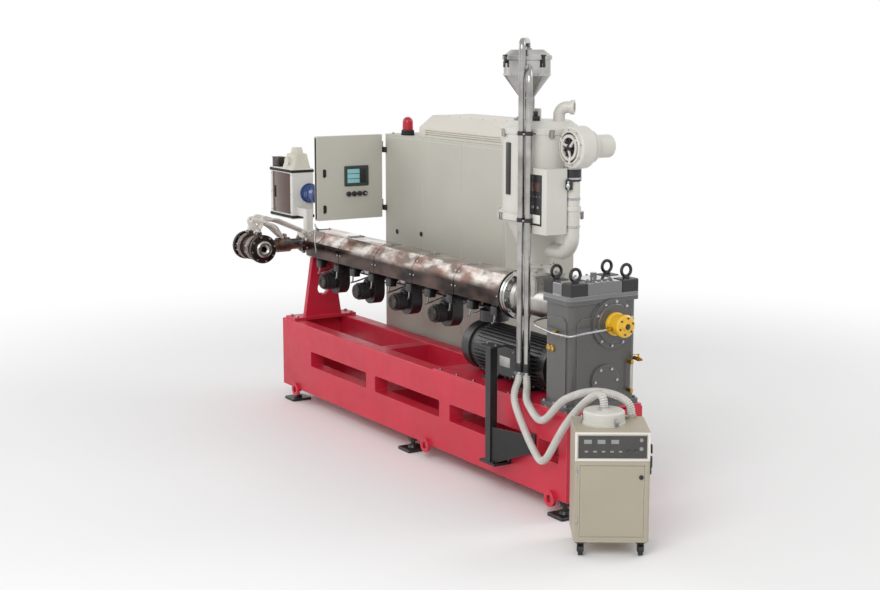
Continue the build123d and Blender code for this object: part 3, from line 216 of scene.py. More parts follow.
def spread(tree, value, low, high, from_low=0.3, from_high=0.7):
    """A value between from_low and from_high as one between low and high."""
    made = add_node(
        tree, "ShaderNodeMapRange",
        {"Value": value, "From Min": from_low, "From Max": from_high, "To Min": low, "To Max": high},
    )
    return made.outputs["Result"]


def blended(tree, factor, first, second):
    """First colour where factor is 0, second where it is 1."""
    mix = add_node(tree, "ShaderNodeMix", data_type="RGBA")
    for place, value in ((0, factor), (6, first), (7, second)):
        if isinstance(value, bpy.types.NodeSocket):
            tree.links.new(value, mix.inputs[place])
        else:
            mix.inputs[place].default_value = value if place == 0 else (*value, 1)
    return mix.outputs[2]


def bumped(tree, height, strength, depth_mm, under=None):
    """The normal of a surface raised by up to depth_mm, over another such normal if one is given."""
    inputs = {"Height": height, "Strength": strength, "Distance": depth_mm * MM}
    if under:
        inputs["Normal"] = under
    return add_node(tree, "ShaderNodeBump", inputs).outputs["Normal"]


def edge_highlight_mask(tree, width_mm):
    """1 along outer edges, for a painted highlight where a coat is also thin, and 0 on flats."""
    rounded = add_node(tree, "ShaderNodeBevel", {"Radius": width_mm * MM}, samples=4)
    true = add_node(tree, "ShaderNodeNewGeometry")
    alike = add_node(
        tree, "ShaderNodeVectorMath", {0: rounded.outputs["Normal"], 1: true.outputs["Normal"]},
        operation="DOT_PRODUCT",
    )
    return spread(tree, alike.outputs["Value"], 1.0, 0.0, 0.75, 0.97)


def coated(
    name, colour, shade=0.86, roughness=0.4, peel_mm=7.0, peel_depth=0.12, coat=0.0, edge=None,
    patch_mm=420.0,
):
    """A paint or powder coat: faint patches, orange peel, and a painted highlight along the edges if
    edge is a colour.
    """
    material, tree, place = start_material(name)
    patches = spread(tree, grain(tree, place, patch_mm), 0.0, 1.0)
    tone = blended(tree, patches, colour, tuple(v * shade for v in colour))
    if edge:
        # Lighter colour along outer edges: a painted highlight, where the coat is also thin.
        tone = blended(tree, edge_highlight_mask(tree, 5.0), tone, edge)
    principled(tree, {
        "Base Color": tone, "IOR": 1.5, "Coat Weight": coat, "Coat Roughness": 0.08,
        "Roughness": spread(tree, grain(tree, place, 90.0, 6.0), roughness - 0.06, roughness + 0.08),
        "Normal": bumped(tree, grain(tree, place, peel_mm, 2.0), 0.35, peel_depth),
    })


def metallic(
    name, colour, second, roughness=0.3, brush=(1, 1, 1), brush_mm=4.0, depth=0.05, patch_mm=160.0,
    wave=0.0,
):
    """Bare metal: two tones in patches, brush or turning lines, and a slow wave in thin sheet."""
    material, tree, place = start_material(name)
    tone = blended(tree, spread(tree, grain(tree, place, patch_mm), 0.0, 1.0), colour, second)
    lines = grain(tree, place, brush_mm, 4.0, brush)
    normal = bumped(tree, lines, 0.4, depth)
    if wave:
        normal = bumped(tree, grain(tree, place, 130.0, 1.0), 0.5, wave, normal)
    principled(tree, {
        "Base Color": tone, "Metallic": 1.0, "Normal": normal,
        "Roughness": spread(tree, lines, max(roughness - 0.07, 0.02), roughness + 0.1),
    })


def mirror_sheet(name, bright, dull, copper_reflection, shade, second_shade, low, high):
    """Mirror-finished sheet with drawn lines and soft dents. Its upper faces have painted reflections
    in bright, dull and copper stretches, and below the height low a painted dark reflection of what
    stands under it."""
    material, tree, place = start_material(name)
    height = add_node(tree, "ShaderNodeSeparateXYZ", {"Vector": place}).outputs["Z"]
    dulled = spread(tree, grain(tree, place, 85.0, 2.0, (0.5, 1, 1)), 0.0, 1.0, 0.42, 0.6)
    copper_reflection_mask = spread(tree, grain(tree, place, 210.0, 3.0, (0.8, 1, 1)), 0.0, 0.7, 0.47, 0.6)
    shaded = spread(tree, grain(tree, place, 110.0, 2.0, (0.5, 1, 1)), 0.0, 1.0)
    # Painted reflections on the upper faces: bright, dull and copper stretches.
    upper = blended(tree, copper_reflection_mask, blended(tree, dulled, bright, dull), copper_reflection)
    # Painted dark reflection of what stands below, on the lower faces.
    lower = blended(tree, shaded, shade, second_shade)
    lines = grain(tree, place, 8.0, 4.0, (0.05, 1, 1))
    normal = bumped(tree, grain(tree, place, 170.0, 1.0), 0.5, 0.8, bumped(tree, lines, 0.35, 0.03))
    principled(tree, {
        "Base Color": blended(tree, spread(tree, height, 0.0, 1.0, low, high), lower, upper),
        "Metallic": 1.0, "Roughness": spread(tree, lines, 0.07, 0.2), "Normal": normal,
    })


def moulded(name, colour, roughness=0.45, grain_mm=2.5, depth=0.06, transmission=0.0, glow=0.0):
    """A moulded plastic or rubber: fine spark grain, and some light let through or given off."""
    material, tree, place = start_material(name)
    patches = spread(tree, grain(tree, place, 60.0), 0.0, 1.0)
    inputs = {
        "Base Color": blended(tree, patches, colour, tuple(v * 0.82 for v in colour)),
        "Roughness": roughness, "IOR": 1.5, "Transmission Weight": transmission,
        "Normal": bumped(tree, grain(tree, place, grain_mm, 2.0), 0.3, depth),
    }
    if glow:
        inputs.update({"Emission Color": (*colour, 1), "Emission Strength": glow})
    principled(tree, inputs)


def display_glass(name):
    """Lit screen behind glass: generic panes and bars on a teal ground, with no lettering."""
    material, tree, place = start_material(name)
    facing = add_node(
        tree, "ShaderNodeMapping", {"Vector": place, "Rotation": (math.pi / 2, 0, math.pi / 2)}
    )
    panes = add_node(
        tree, "ShaderNodeTexBrick",
        {
            "Vector": facing.outputs["Vector"], "Scale": 14.0, "Mortar Size": 0.035,
            "Color1": (*linear("#8FB9BD"), 1), "Color2": (*linear("#5E9AA0"), 1),
            "Mortar": (*linear("#27474B"), 1),
        },
    ).outputs["Color"]
    principled(tree, {
        "Base Color": panes, "Roughness": 0.08, "IOR": 1.5, "Emission Color": panes,
        "Emission Strength": 0.25,
    })


# Each finish with its slot of the record and the solids that wear it.
FINISHES = {
    "enamel_on_welded_frame": ("red_paint", (
        "front_side_frame", "rear_side_frame", "frame_cross_members", "lifting_rings", "drive_deck",
        "barrel_support",
    )),
    "black_satin_enamel": ("black_steel", (
        "levelling_feet", "gearbox_lifting_eyes", "drive_motor", "motor_fan_cowl", "coupling_guard",
        "motor_terminal_box", "zone_blowers", "rail_bracket", "panel_hinges",
    )),
    "enamel_on_gearbox_casting": ("charcoal_paint", ("gearbox_housing", "bearing_caps")),
    "gloss_enamel_on_gearbox_lid": ("charcoal_gloss", ("gearbox_lid",)),
    "yellow_pump_enamel": ("yellow_paint", ("oil_pump",)),
    "turned_steel": ("bare_steel", ("feed_housing", "barrel", "barrel_head_clamp")),
    "zinc_plated_screws": ("bare_steel", ()),
    "polished_stainless": ("bright_steel", (
        "barrel_flange", "vacuum_receiver", "vacuum_riser_pipe", "material_riser_pipe", "riser_stays",
    )),
    "brass": ("bright_steel", ()),
    "oxidised_heater_steel": ("heater_metal", (
        "band_heaters", "melt_adapter", "side_melt_pipe", "crosshead_heaters",
    )),
    "mirror_stainless_covers": ("polished_sheet", ("barrel_covers",)),
    "blackened_die_steel": ("dark_steel", ("crosshead_body",)),
    "white_powder_coat": ("white_paint", ("head_box", "head_box_post")),
    "cast_cream_enamel": ("cream_paint", ("head_box_cap",)),
    "blue_motor_enamel": ("blue_paint", ("head_box_motor",)),
    "cabinet_powder_coat": ("grey_paint", ("control_cabinet", "cabinet_plinth", "operator_panel")),
    "pale_roof_coat": ("grey_paint", ("cabinet_roof_unit",)),
    "dryer_powder_coat": ("cream_paint", (
        "dryer_base", "dryer_cone", "dryer_drum", "dryer_lid", "dryer_exhaust", "dryer_blower",
        "dryer_duct", "dryer_control_box", "loader_canister",
    )),
    "unit_powder_coat": ("beige_paint", ("loader_cabinet",)),
    "screen_bezel_abs": ("screen_plastic", ("touch_screen",)),
    "lit_display": ("screen_plastic", ()),
    "tinted_acrylic": ("screen_plastic", ()),
    "black_nylon": ("black_plastic", ("panel_buttons", "loader_casters")),
    "black_rubber": ("black_plastic", ()),
    "printed_panel_film": ("black_plastic", ("loader_control_panel",)),
    "grey_keys": ("black_plastic", ()),
    "red_lamp_lens": ("red_lens", ("alarm_light",)),
    "white_glass_sleeve": ("white_paint", ()),
    "clear_hose_wall": ("clear_hose", ("vacuum_hose", "material_hose")),
    "white_hose_rib": ("clear_hose", ()),
}


def make_finishes(colours):
    """Makes every material of the machine."""
    # The edge colour given to a coat, where there is one, is a painted highlight along its outer edges.
    # Two-pack enamel sprayed over welds: orange peel, and pink edges, a painted highlight where the coat
    # is also thin.
    coated(
        "enamel_on_welded_frame", tuple(colours.frame_red), 0.85, 0.44, 9.0, 0.2, 0.1,
        linear("#E0697A"),
    )
    # Air-dried black enamel on fabricated parts: satin, with grey edges that are a painted highlight.
    coated("black_satin_enamel", linear("#1D1D1F"), 0.6, 0.42, 6.0, 0.15, 0.1, linear("#58585A"))
    # Filled and sprayed casting: satin grey with a rough skin below.
    coated(
        "enamel_on_gearbox_casting", tuple(colours.gearbox_grey), 0.86, 0.33, 14.0, 0.4, 0.3,
        linear("#8B8B90"),
    )
    # The lid is glossier, so that it mirrors the room.
    coated(
        "gloss_enamel_on_gearbox_lid", linear("#68686A"), 0.9, 0.12, 20.0, 0.1, 1.0, linear("#A6A6AA")
    )
    coated("yellow_pump_enamel", tuple(colours.pump_yellow), 0.85, 0.25, 8.0, 0.15, 0.5, None, 60.0)
    # Turned and ground steel: fine rings, drawn coarser than real so that they show.
    metallic("turned_steel", linear("#B9B7B2"), linear("#8E8B86"), 0.3, (14, 1, 1), 9.0, 0.06)
    metallic(
        "zinc_plated_screws", linear("#C6C8CA"), linear("#9A9DA0"), 0.28, (1, 1, 1), 3.0, 0.03, 20.0
    )
    # Polished tube and sheet: long soft lines along the height.
    metallic(
        "polished_stainless", linear("#BDBBB8"), linear("#848280"), 0.19, (1, 1, 0.08), 6.0, 0.04,
        wave=0.5,
    )
    metallic("brass", linear("#D7A93C"), linear("#A77B22"), 0.25, (1, 1, 1), 4.0, 0.04, 25.0)
    # Heater bands and hot steel go brown and blue with heat.
    metallic(
        "oxidised_heater_steel", linear("#8C7663"), linear("#5A5560"), 0.38, (1, 1, 6), 6.0, 0.08, 60.0
    )
    # Mirror-finished thin sheet, with painted reflections: bright, dull and copper stretches on top, and
    # the dark drive below.
    mirror_sheet(
        "mirror_stainless_covers", linear("#E6DED8"), linear("#84766E"), linear("#9A6A5A"),
        linear("#241C1A"), linear("#66514A"), (SCREW_Z + 24) * MM, (SCREW_Z + 66) * MM,
    )
    metallic(
        "blackened_die_steel", linear("#57504D"), linear("#332F2E"), 0.34, (10, 1, 1), 8.0, 0.08, 70.0
    )
    coated("white_powder_coat", linear("#E3E1DB"), 0.93, 0.42, 3.5, 0.12, 0.0, linear("#F4F3EF"))
    # Sand casting under thick enamel: lumps a few millimetres across.
    coated("cast_cream_enamel", linear("#DDD9CB"), 0.8, 0.5, 18.0, 3.0)
    coated("blue_motor_enamel", linear("#23427F"), 0.8, 0.28, 7.0, 0.15, 0.5, linear("#5C7CB8"))
    # Powder coat: fine even texture on flat sheet.
    coated(
        "cabinet_powder_coat", tuple(colours.cabinet_grey), 0.94, 0.44, 4.0, 0.15, 0.0,
        linear("#E2E0D6"),
    )
    coated("pale_roof_coat", linear("#D9D4C9"), 0.95, 0.4, 4.0, 0.15)
    coated(
        "dryer_powder_coat", tuple(colours.dryer_cream), 0.92, 0.38, 4.5, 0.15, 0.15,
        linear("#E9E7DD"),
    )
    coated(
        "unit_powder_coat", tuple(colours.unit_beige), 0.93, 0.46, 3.5, 0.15, 0.0, linear("#DDD6C6")
    )
    moulded("screen_bezel_abs", linear("#34403F"), 0.3)
    display_glass("lit_display")
    moulded("tinted_acrylic", linear("#6B4A42"), 0.06, 40.0, 0.02, 0.35)
    moulded("black_nylon", linear("#222223"), 0.42)
    moulded("printed_panel_film", linear("#484745"), 0.4)
    moulded("black_rubber", linear("#141414"), 0.75, 3.0, 0.15)
    moulded("grey_keys", linear("#9A9C99"), 0.5)
    moulded("red_lamp_lens", linear("#C6213A"), 0.12, 5.0, 0.1, 0.35, 0.08)
    # Braided glass-fibre sleeve: matt, fuzzy, dusty white.
    moulded("white_glass_sleeve", linear("#E4E0D8"), 0.8, 3.0, 0.6)
    # Soft PVC wall with stiff ribs.
    moulded("clear_hose_wall", linear("#DAD8D1"), 0.2, 8.0, 0.1, 0.3)
    moulded("white_hose_rib", linear("#EFEEE8"), 0.35, 4.0, 0.05, 0.1)


# Mesh helpers. Sizes are in metres here.


def turned_to(point, direction):
    """Takes a shape made up +Z from the origin to point, along direction."""
    facing = Vector(direction).to_track_quat("Z", "Y").to_matrix().to_4x4()
    return Matrix.Translation(point) @ facing


def soften(bm, verts, width, least=0.6):
    """Rounds the edges of a new shape where its surface turns by more than least radians."""
    edges = {edge for vert in verts for face in vert.link_faces for edge in face.edges}
    sharp = [edge for edge in edges if edge.is_manifold and edge.calc_face_angle(0.0) > least]
    bmesh.ops.bevel(
        bm, geom=sharp, offset=width, offset_type="OFFSET", affect="EDGES", segments=2, profile=0.5,
        material=-1, clamp_overlap=True,
    )


def block(bm, centre, size, bevel=0.0, turn=0.0):
    """A box with rounded edges, turned about the vertical."""
    matrix = Matrix.Translation(centre) @ Matrix.Rotation(turn, 4, "Z") @ Matrix.Diagonal((*size, 1))
    made = bmesh.ops.create_cube(bm, size=1.0, matrix=matrix)
    if bevel:
        soften(bm, made["verts"], bevel)


def rod(bm, start, direction, radius, length, segments=20, bevel=0.0, tip=None):
    """A round bar or cone from start along direction."""
    middle = Vector(start) + Vector(direction).normalized() * length / 2
    made = bmesh.ops.create_cone(
        bm, cap_ends=True, cap_tris=False, segments=segments, radius1=radius,
        radius2=radius if tip is None else tip, depth=length, matrix=turned_to(middle, direction),
    )
    if bevel:
        soften(bm, made["verts"], bevel)


def turning(bm, start, direction, outline, segments=48):
    """Spins an outline of (radius, height) points a full turn about direction."""
    lathe = bmesh.new()
    corners = [lathe.verts.new((radius, 0, height)) for radius, height in outline]
    edges = [lathe.edges.new(pair) for pair in zip(corners, corners[1:])]
    bmesh.ops.spin(
        lathe, geom=corners + edges, cent=(0, 0, 0), axis=(0, 0, 1), angle=2 * math.pi,
        steps=segments, use_merge=True, dvec=(0, 0, 0),
    )
    bmesh.ops.remove_doubles(lathe, verts=lathe.verts, dist=1e-6)
    bmesh.ops.transform(lathe, verts=lathe.verts, matrix=turned_to(start, direction))
    bmesh.ops.recalc_face_normals(lathe, faces=lathe.faces)
    held = bpy.data.meshes.new("held")
    lathe.to_mesh(held)
    lathe.free()
    bm.from_mesh(held)
    bpy.data.meshes.remove(held)


def ring(bm, start, direction, inner, outer, height, segments=28):
    """A plain ring between two radii, from start along direction."""
    outline = [(inner, 0), (outer, 0), (outer, height), (inner, height), (inner, 0)]
    turning(bm, start, direction, outline, segments)


def rivet(bm, start, direction, radius, segments):
    """A low round head with a chamfered edge."""
    outline = [(0, 0), (radius, 0), (radius, 0.003), (radius - 0.002, 0.005), (0, 0.005)]
    turning(bm, start, direction, outline, segments)


def screw(bm, point, direction, across):
    """A hexagon head with a washer under it, across its flats."""
    direction = Vector(direction).normalized()
    rod(bm, point, direction, across * 0.62, across * 0.12, 20)
    head = Vector(point) + direction * across * 0.12
    rod(bm, head, direction, across * 0.577, across * 0.5, 6, across * 0.05)


def socket_screw(bm, point, direction, across):
    """A round head with a hexagon socket, across its head."""
    outline = [(0, 0), (0.5, 0), (0.5, 0.5), (0.44, 0.58), (0.27, 0.58), (0.27, 0.3), (0, 0.3)]
    turning(bm, point, direction, [(across * radius, across * height) for radius, height in outline], 14)


def circle_places(centre, direction, radius, count, first=0.0):
    """Points spaced evenly round a circle that faces direction."""
    matrix = turned_to(centre, direction)
    turns = [first + 2 * math.pi * step / count for step in range(count)]
    return [matrix @ Vector((radius * math.cos(turn), radius * math.sin(turn), 0)) for turn in turns]


def bolt_circle(kind, bm, centre, direction, radius, count, first, across):
    """Fasteners of a kind, spaced evenly round a circle."""
    for place in circle_places(centre, direction, radius, count, first):
        kind(bm, place, direction, across)


def tube(bm, points, radii, segments=14):
    """A round tube along points, with a radius at each, closed at both ends."""
    points = [Vector(point) for point in points]
    runs = [(after - before).normalized() for before, after in zip(points, points[1:])]
    ways = [runs[0]] + [(a + b).normalized() for a, b in zip(runs, runs[1:])] + [runs[-1]]
    made = bmesh.ops.create_circle(
        bm, cap_ends=True, segments=segments, radius=radii[0], matrix=turned_to(points[0], ways[0])
    )
    edges = list({edge for vert in made["verts"] for edge in vert.link_edges})
    for step in range(1, len(points)):
        made = bmesh.ops.extrude_edge_only(bm, edges=edges)["geom"]
        verts = {item for item in made if isinstance(item, bmesh.types.BMVert)}
        edges = [
            item for item in made
            if isinstance(item, bmesh.types.BMEdge) and verts.issuperset(item.verts)
        ]
        turn = ways[step - 1].rotation_difference(ways[step]).to_matrix().to_4x4()
        grow = Matrix.Scale(radii[step] / radii[step - 1], 4)
        there = Matrix.Translation(points[step]) @ turn @ grow @ Matrix.Translation(-points[step - 1])
        bmesh.ops.transform(bm, verts=list(verts), matrix=there)
    bmesh.ops.edgeloop_fill(bm, edges=edges)


def bent_pipe(bm, corners, radius, bend, segments=10):
    """A pipe along straight runs, with a bend of that radius at each corner."""
    corners = [Vector(corner) for corner in corners]
    steps = 6
    path = [corners[0]]
    for before, corner, after in zip(corners, corners[1:], corners[2:]):
        start = corner + (before - corner).normalized() * bend
        end = corner + (after - corner).normalized() * bend
        for step in range(steps + 1):
            share = step / steps
            path.append(start * (1 - share) ** 2 + corner * 2 * share * (1 - share) + end * share**2)
    path.append(corners[-1])
    tube(bm, path, [radius] * len(path), segments)


def put(name, bm, material, body=MACHINE, angle=35.0, weld=True):
    """Makes the finished piece from its bmesh, gives it its finish, and lets it ride on its body."""
    if weld:
        bmesh.ops.remove_doubles(bm, verts=bm.verts, dist=2e-6)
    bmesh.ops.recalc_face_normals(bm, faces=bm.faces)
    mesh = bpy.data.meshes.new(name)
    bm.to_mesh(mesh)
    bm.free()
    names = [material] if isinstance(material, str) else material
    for each in names:
        mesh.materials.append(bpy.data.materials[each])
    mesh.shade_smooth()
    mesh.set_sharp_from_angle(angle=math.radians(angle))
    piece = bpy.data.objects.new(name, mesh)
    bpy.context.scene.collection.objects.link(piece)
    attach(piece, body)
    return piece


# Camera, stage and hoses.


class EXTRUDER_OT_camera(bpy.types.Operator):
    """Place the camera where it looks at the machine from the drive end, aimed at its middle"""

    bl_idname = "extruder.camera"
    bl_label = "Camera"

    def execute(self, context):
        lens = bpy.data.cameras.new("camera")
        lens.sensor_width = 36.0
        lens.lens = context.scene.extruder_stage.lens
        eye = bpy.data.objects.new("camera", lens)
        eye.location = at(-6830, -5000, 2700)
        aim = at(1640, 190, 1030)
        eye.rotation_euler = (aim - eye.location).to_track_quat("-Z", "Y").to_euler()
        context.scene.collection.objects.link(eye)
        context.scene.camera = eye
        return {"FINISHED"}


class EXTRUDER_OT_stage(bpy.types.Operator):
    """Lay a pale floor, a white room and soft studio lamps"""

    bl_idname = "extruder.stage"
    bl_label = "Stage"

    def execute(self, context):
        stage = context.scene.extruder_stage
        floor_bm = bmesh.new()
        bmesh.ops.create_circle(
            floor_bm, cap_ends=True, segments=96, radius=90.0,
            matrix=Matrix.Translation((0, 0, -0.0006)),
        )
        mesh = bpy.data.meshes.new("floor")
        floor_bm.to_mesh(mesh)
        floor_bm.free()
        floor = bpy.data.objects.new("floor", mesh)
        context.scene.collection.objects.link(floor)
        # Pale matt floor that fades to the white room some metres away from the machine.
        material, tree, place = start_material("pale_floor")
        far = add_node(tree, "ShaderNodeVectorMath", {0: place}, operation="LENGTH").outputs["Value"]
        fade = add_node(
            tree, "ShaderNodeMapRange", {"Value": far, "From Min": 3.2, "From Max": 7.0},
            interpolation_type="SMOOTHSTEP",
        ).outputs["Result"]
        both = self.combined(tree, "MULTIPLY", fade, self.seen(tree))
        matt = add_node(
            tree, "ShaderNodeBsdfPrincipled", {"Base Color": (0.93, 0.93, 0.93, 1), "Roughness": 0.7}
        ).outputs["BSDF"]
        white = add_node(tree, "ShaderNodeEmission", {"Strength": 1.0}).outputs["Emission"]
        mixed = add_node(tree, "ShaderNodeMixShader", {0: both, 1: matt, 2: white})
        close_material(tree, mixed.outputs["Shader"])
        mesh.materials.append(material)

        world = bpy.data.worlds.new("room")
        world.use_nodes = True
        tree = world.node_tree
        tree.nodes.clear()
        room = add_node(
            tree, "ShaderNodeMapRange",
            {"Value": self.seen(tree), "To Min": stage.ambient, "To Max": 1.0},
        ).outputs["Result"]
        back = add_node(tree, "ShaderNodeBackground", {"Color": (1, 1, 1, 1), "Strength": room})
        add_node(tree, "ShaderNodeOutputWorld", {"Surface": back.outputs["Background"]})
        context.scene.world = world

        self.lamp("key_lamp", (5.5, -6.5, 6.0), 4.5, stage.key_power)
        self.lamp("fill_lamp", (-7.0, -5.0, 4.5), 4.0, stage.key_power * 0.35)
        self.lamp("back_lamp", (3.0, 7.0, 6.5), 4.0, stage.key_power * 0.4)
        context.scene.view_settings.view_transform = "Standard"
        return {"FINISHED"}

    def combined(self, tree, operation, first, second):
        """The result of one sum on two values."""
        made = add_node(tree, "ShaderNodeMath", {0: first, 1: second}, operation=operation)
        return made.outputs["Value"]

    def seen(self, tree):
        """1 for rays from the camera, and for those that show the room in metal and glass."""
        rays = add_node(tree, "ShaderNodeLightPath").outputs
        first = self.combined(tree, "MAXIMUM", rays["Is Camera Ray"], rays["Is Glossy Ray"])
        return self.combined(tree, "MAXIMUM", first, rays["Is Transmission Ray"])

    def lamp(self, name, place, size, power):
        """A large square lamp that faces the machine's middle."""
        light = bpy.data.lights.new(name, "AREA")
        light.size = size
        light.energy = power
        lamp = bpy.data.objects.new(name, light)
        lamp.location = place
        lamp.rotation_euler = (Vector((0, 0, 1.2)) - lamp.location).to_track_quat("-Z", "Y").to_euler()
        bpy.context.scene.collection.objects.link(lamp)


class EXTRUDER_OT_finishes(bpy.types.Operator):
    """Make the materials and give each solid its own"""

    bl_idname = "extruder.finishes"
    bl_label = "Finishes"

    def execute(self, context):
        make_finishes(context.scene.extruder_colours)
        for material, (_, nodes) in FINISHES.items():
            for node in nodes:
                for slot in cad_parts[node].material_slots:
                    slot.material = bpy.data.materials[material]
        return {"FINISHED"}


# Routes of the two hoses, in mm. Both leave the risers straight down.


def vacuum_route():
    """From the vacuum riser down to its lowest point, up and over into the canister's port."""
    middle = [
        (490, 25, 760), (490, 25, 718), (482, -6, 672), (462, -32, 622), (425, -42, 570),
        (350, -54, 500), (270, -64, 425), (195, -70, 362), (128, -74, 318), (66, -76, 352),
        (15, -76, 425), (-45, -75, 510), (-110, -75, 590), (-180, -75, 662), (-255, -75, 728),
        (-318, -75, 775), (-362, -75, 804), (-400, -75, 818), (-431, -75, 807),
    ]
    return [at(*point) for point in middle] + [on_unit(*CANISTER, 779), on_unit(*CANISTER, 752)]


def material_route():
    """From the material riser, behind the canister, down to the port at the unit's back."""
    middle = [
        (442, 43, 760), (442, 43, 716), (426, 36, 680), (392, 8, 654), (336, -30, 622),
        (268, -44, 588), (215, -53, 562), (160, -59, 549), (108, -60, 566), (56, -60, 610),
        (4, -59, 662), (-50, -57, 708), (-135, -48, 750), (-212, -30, 783), (-288, 0, 799),
        (-350, 42, 795), (-402, 80, 776),
    ]
    return [at(*point) for point in middle] + [on_unit(*RETURN_PORT, 738), on_unit(*RETURN_PORT, 690)]


def spline_points(route, name):
    """Points along the route's own smooth spline."""
    curve = bpy.data.curves.new(name, "CURVE")
    curve.dimensions = "3D"
    curve.resolution_u = 12
    spline = curve.splines.new("NURBS")
    spline.points.add(len(route) - 1)
    for point, place in zip(spline.points, route):
        point.co = (*place, 1.0)
    spline.order_u = 3
    spline.use_endpoint_u = True
    guide = bpy.data.objects.new(name, curve)
    mesh = bpy.data.meshes.new_from_object(guide)
    points = [vert.co.copy() for vert in mesh.vertices]
    bpy.data.objects.remove(guide)
    bpy.data.meshes.remove(mesh)
    bpy.data.curves.remove(curve)
    return points


def evenly(points, step):
    """The same line with points a step apart, and its length."""
    lengths = [0.0]
    for before, after in zip(points, points[1:]):
        lengths.append(lengths[-1] + (after - before).length)
    count = round(lengths[-1] / step)
    spaced = []
    place = 0
    for number in range(count + 1):
        wanted = lengths[-1] * number / count
        while place < len(points) - 2 and lengths[place + 1] < wanted:
            place += 1
        share = (wanted - lengths[place]) / max(lengths[place + 1] - lengths[place], 1e-9)
        spaced.append(points[place].lerp(points[place + 1], min(max(share, 0.0), 1.0)))
    return spaced, lengths[-1]


class EXTRUDER_OT_hoses(bpy.types.Operator):
    """Hang the two ribbed clear hoses between the risers and the suction unit"""

    bl_idname = "extruder.hoses"
    bl_label = "Hoses"

    def execute(self, context):
        sizes = context.scene.extruder_sizes
        radius = sizes.hose_diameter / 2
        steps_a_rib = 4
        sides = 18
        # Radius between the ribs, as a share of the radius over them.
        valley = 0.945
        cuffs = bmesh.new()
        for name, route in (("vacuum_hose", vacuum_route()), ("material_hose", material_route())):
            line = spline_points(route, name + "_line")
            spaced, length = evenly(line, sizes.hose_rib_pitch / steps_a_rib)
            radii = [radius * (1.0 if n % steps_a_rib < 2 else valley) for n in range(len(spaced))]
            bm = bmesh.new()
            tube(bm, spaced, radii, sides)
            for number, face in enumerate(bm.faces):
                face.material_index = int((number - 1) // sides % steps_a_rib == 0)
            hose = put(
                name + "_ribbed", bm, ["clear_hose_wall", "white_hose_rib"], angle=70.0, weld=False
            )
            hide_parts(name)
            for place in (route[0], route[-1]):
                foot = Vector(place) - Vector((0, 0, 0.012))
                ring(cuffs, foot, UPWARD, radius - 0.001, radius + 0.003, 0.014)
                ear = foot + Vector((-0.012, -radius - 0.006, 0.007))
                rod(cuffs, ear, TO_DRIVE_END, 0.005, 0.024, 8)
        put("hose_clips", cuffs, "zinc_plated_screws")
        return {"FINISHED"}


# Fittings of the base frame and the drive.


class EXTRUDER_OT_frame_fittings(bpy.types.Operator):
    """Add the base frame's screws, the feet's nuts and the bracket's arm"""

    bl_idname = "extruder.frame_fittings"
    bl_label = "Frame fittings"

    def execute(self, context):
        bm = bmesh.new()
        for number, depth in product(range(8), (18, 512)):
            screw(bm, at(20 + 190 * number, depth, 612), UPWARD, 0.015)
        for distance, depth in product((60, 1750, 3440), (50, 480)):
            rod(bm, at(distance, depth, 62), UPWARD, 0.021, 0.016, 6, 0.002)
            rod(bm, at(distance, depth, 82), UPWARD, 0.021, 0.014, 6, 0.002)
        for across in (-66, 66):
            for height in (222, 284):
                screw(bm, at(BRACKET + across, -12, height), TO_OPERATOR, 0.015)
            screw(bm, at(BRACKET + across * 0.68, -90, 910), UPWARD, 0.012)
        for height in (340, 400):
            screw(bm, at(300, -12, height), TO_OPERATOR, 0.014)
        put("frame_screws", bm, "zinc_plated_screws")

        # Tapered arm from the bracket's post to a pad on the frame's front.
        bm = bmesh.new()
        thickness = 12
        post_side, pad_side = (588, -92), (312, -12)
        corners = ((*post_side, 202), (*pad_side, 318), (*pad_side, 424), (*post_side, 424))
        rims = [
            [bm.verts.new(at(distance, depth - shift, height)) for distance, depth, height in corners]
            for shift in (0, thickness)
        ]
        for rim in rims:
            bm.faces.new(rim)
        for one in range(4):
            two = (one + 1) % 4
            bm.faces.new((rims[0][one], rims[0][two], rims[1][two], rims[1][one]))
        block(bm, at(304, -6, 370), (0.056, 0.012, 0.13), 0.002)
        put("bracket_arm", bm, "black_satin_enamel")
        return {"FINISHED"}


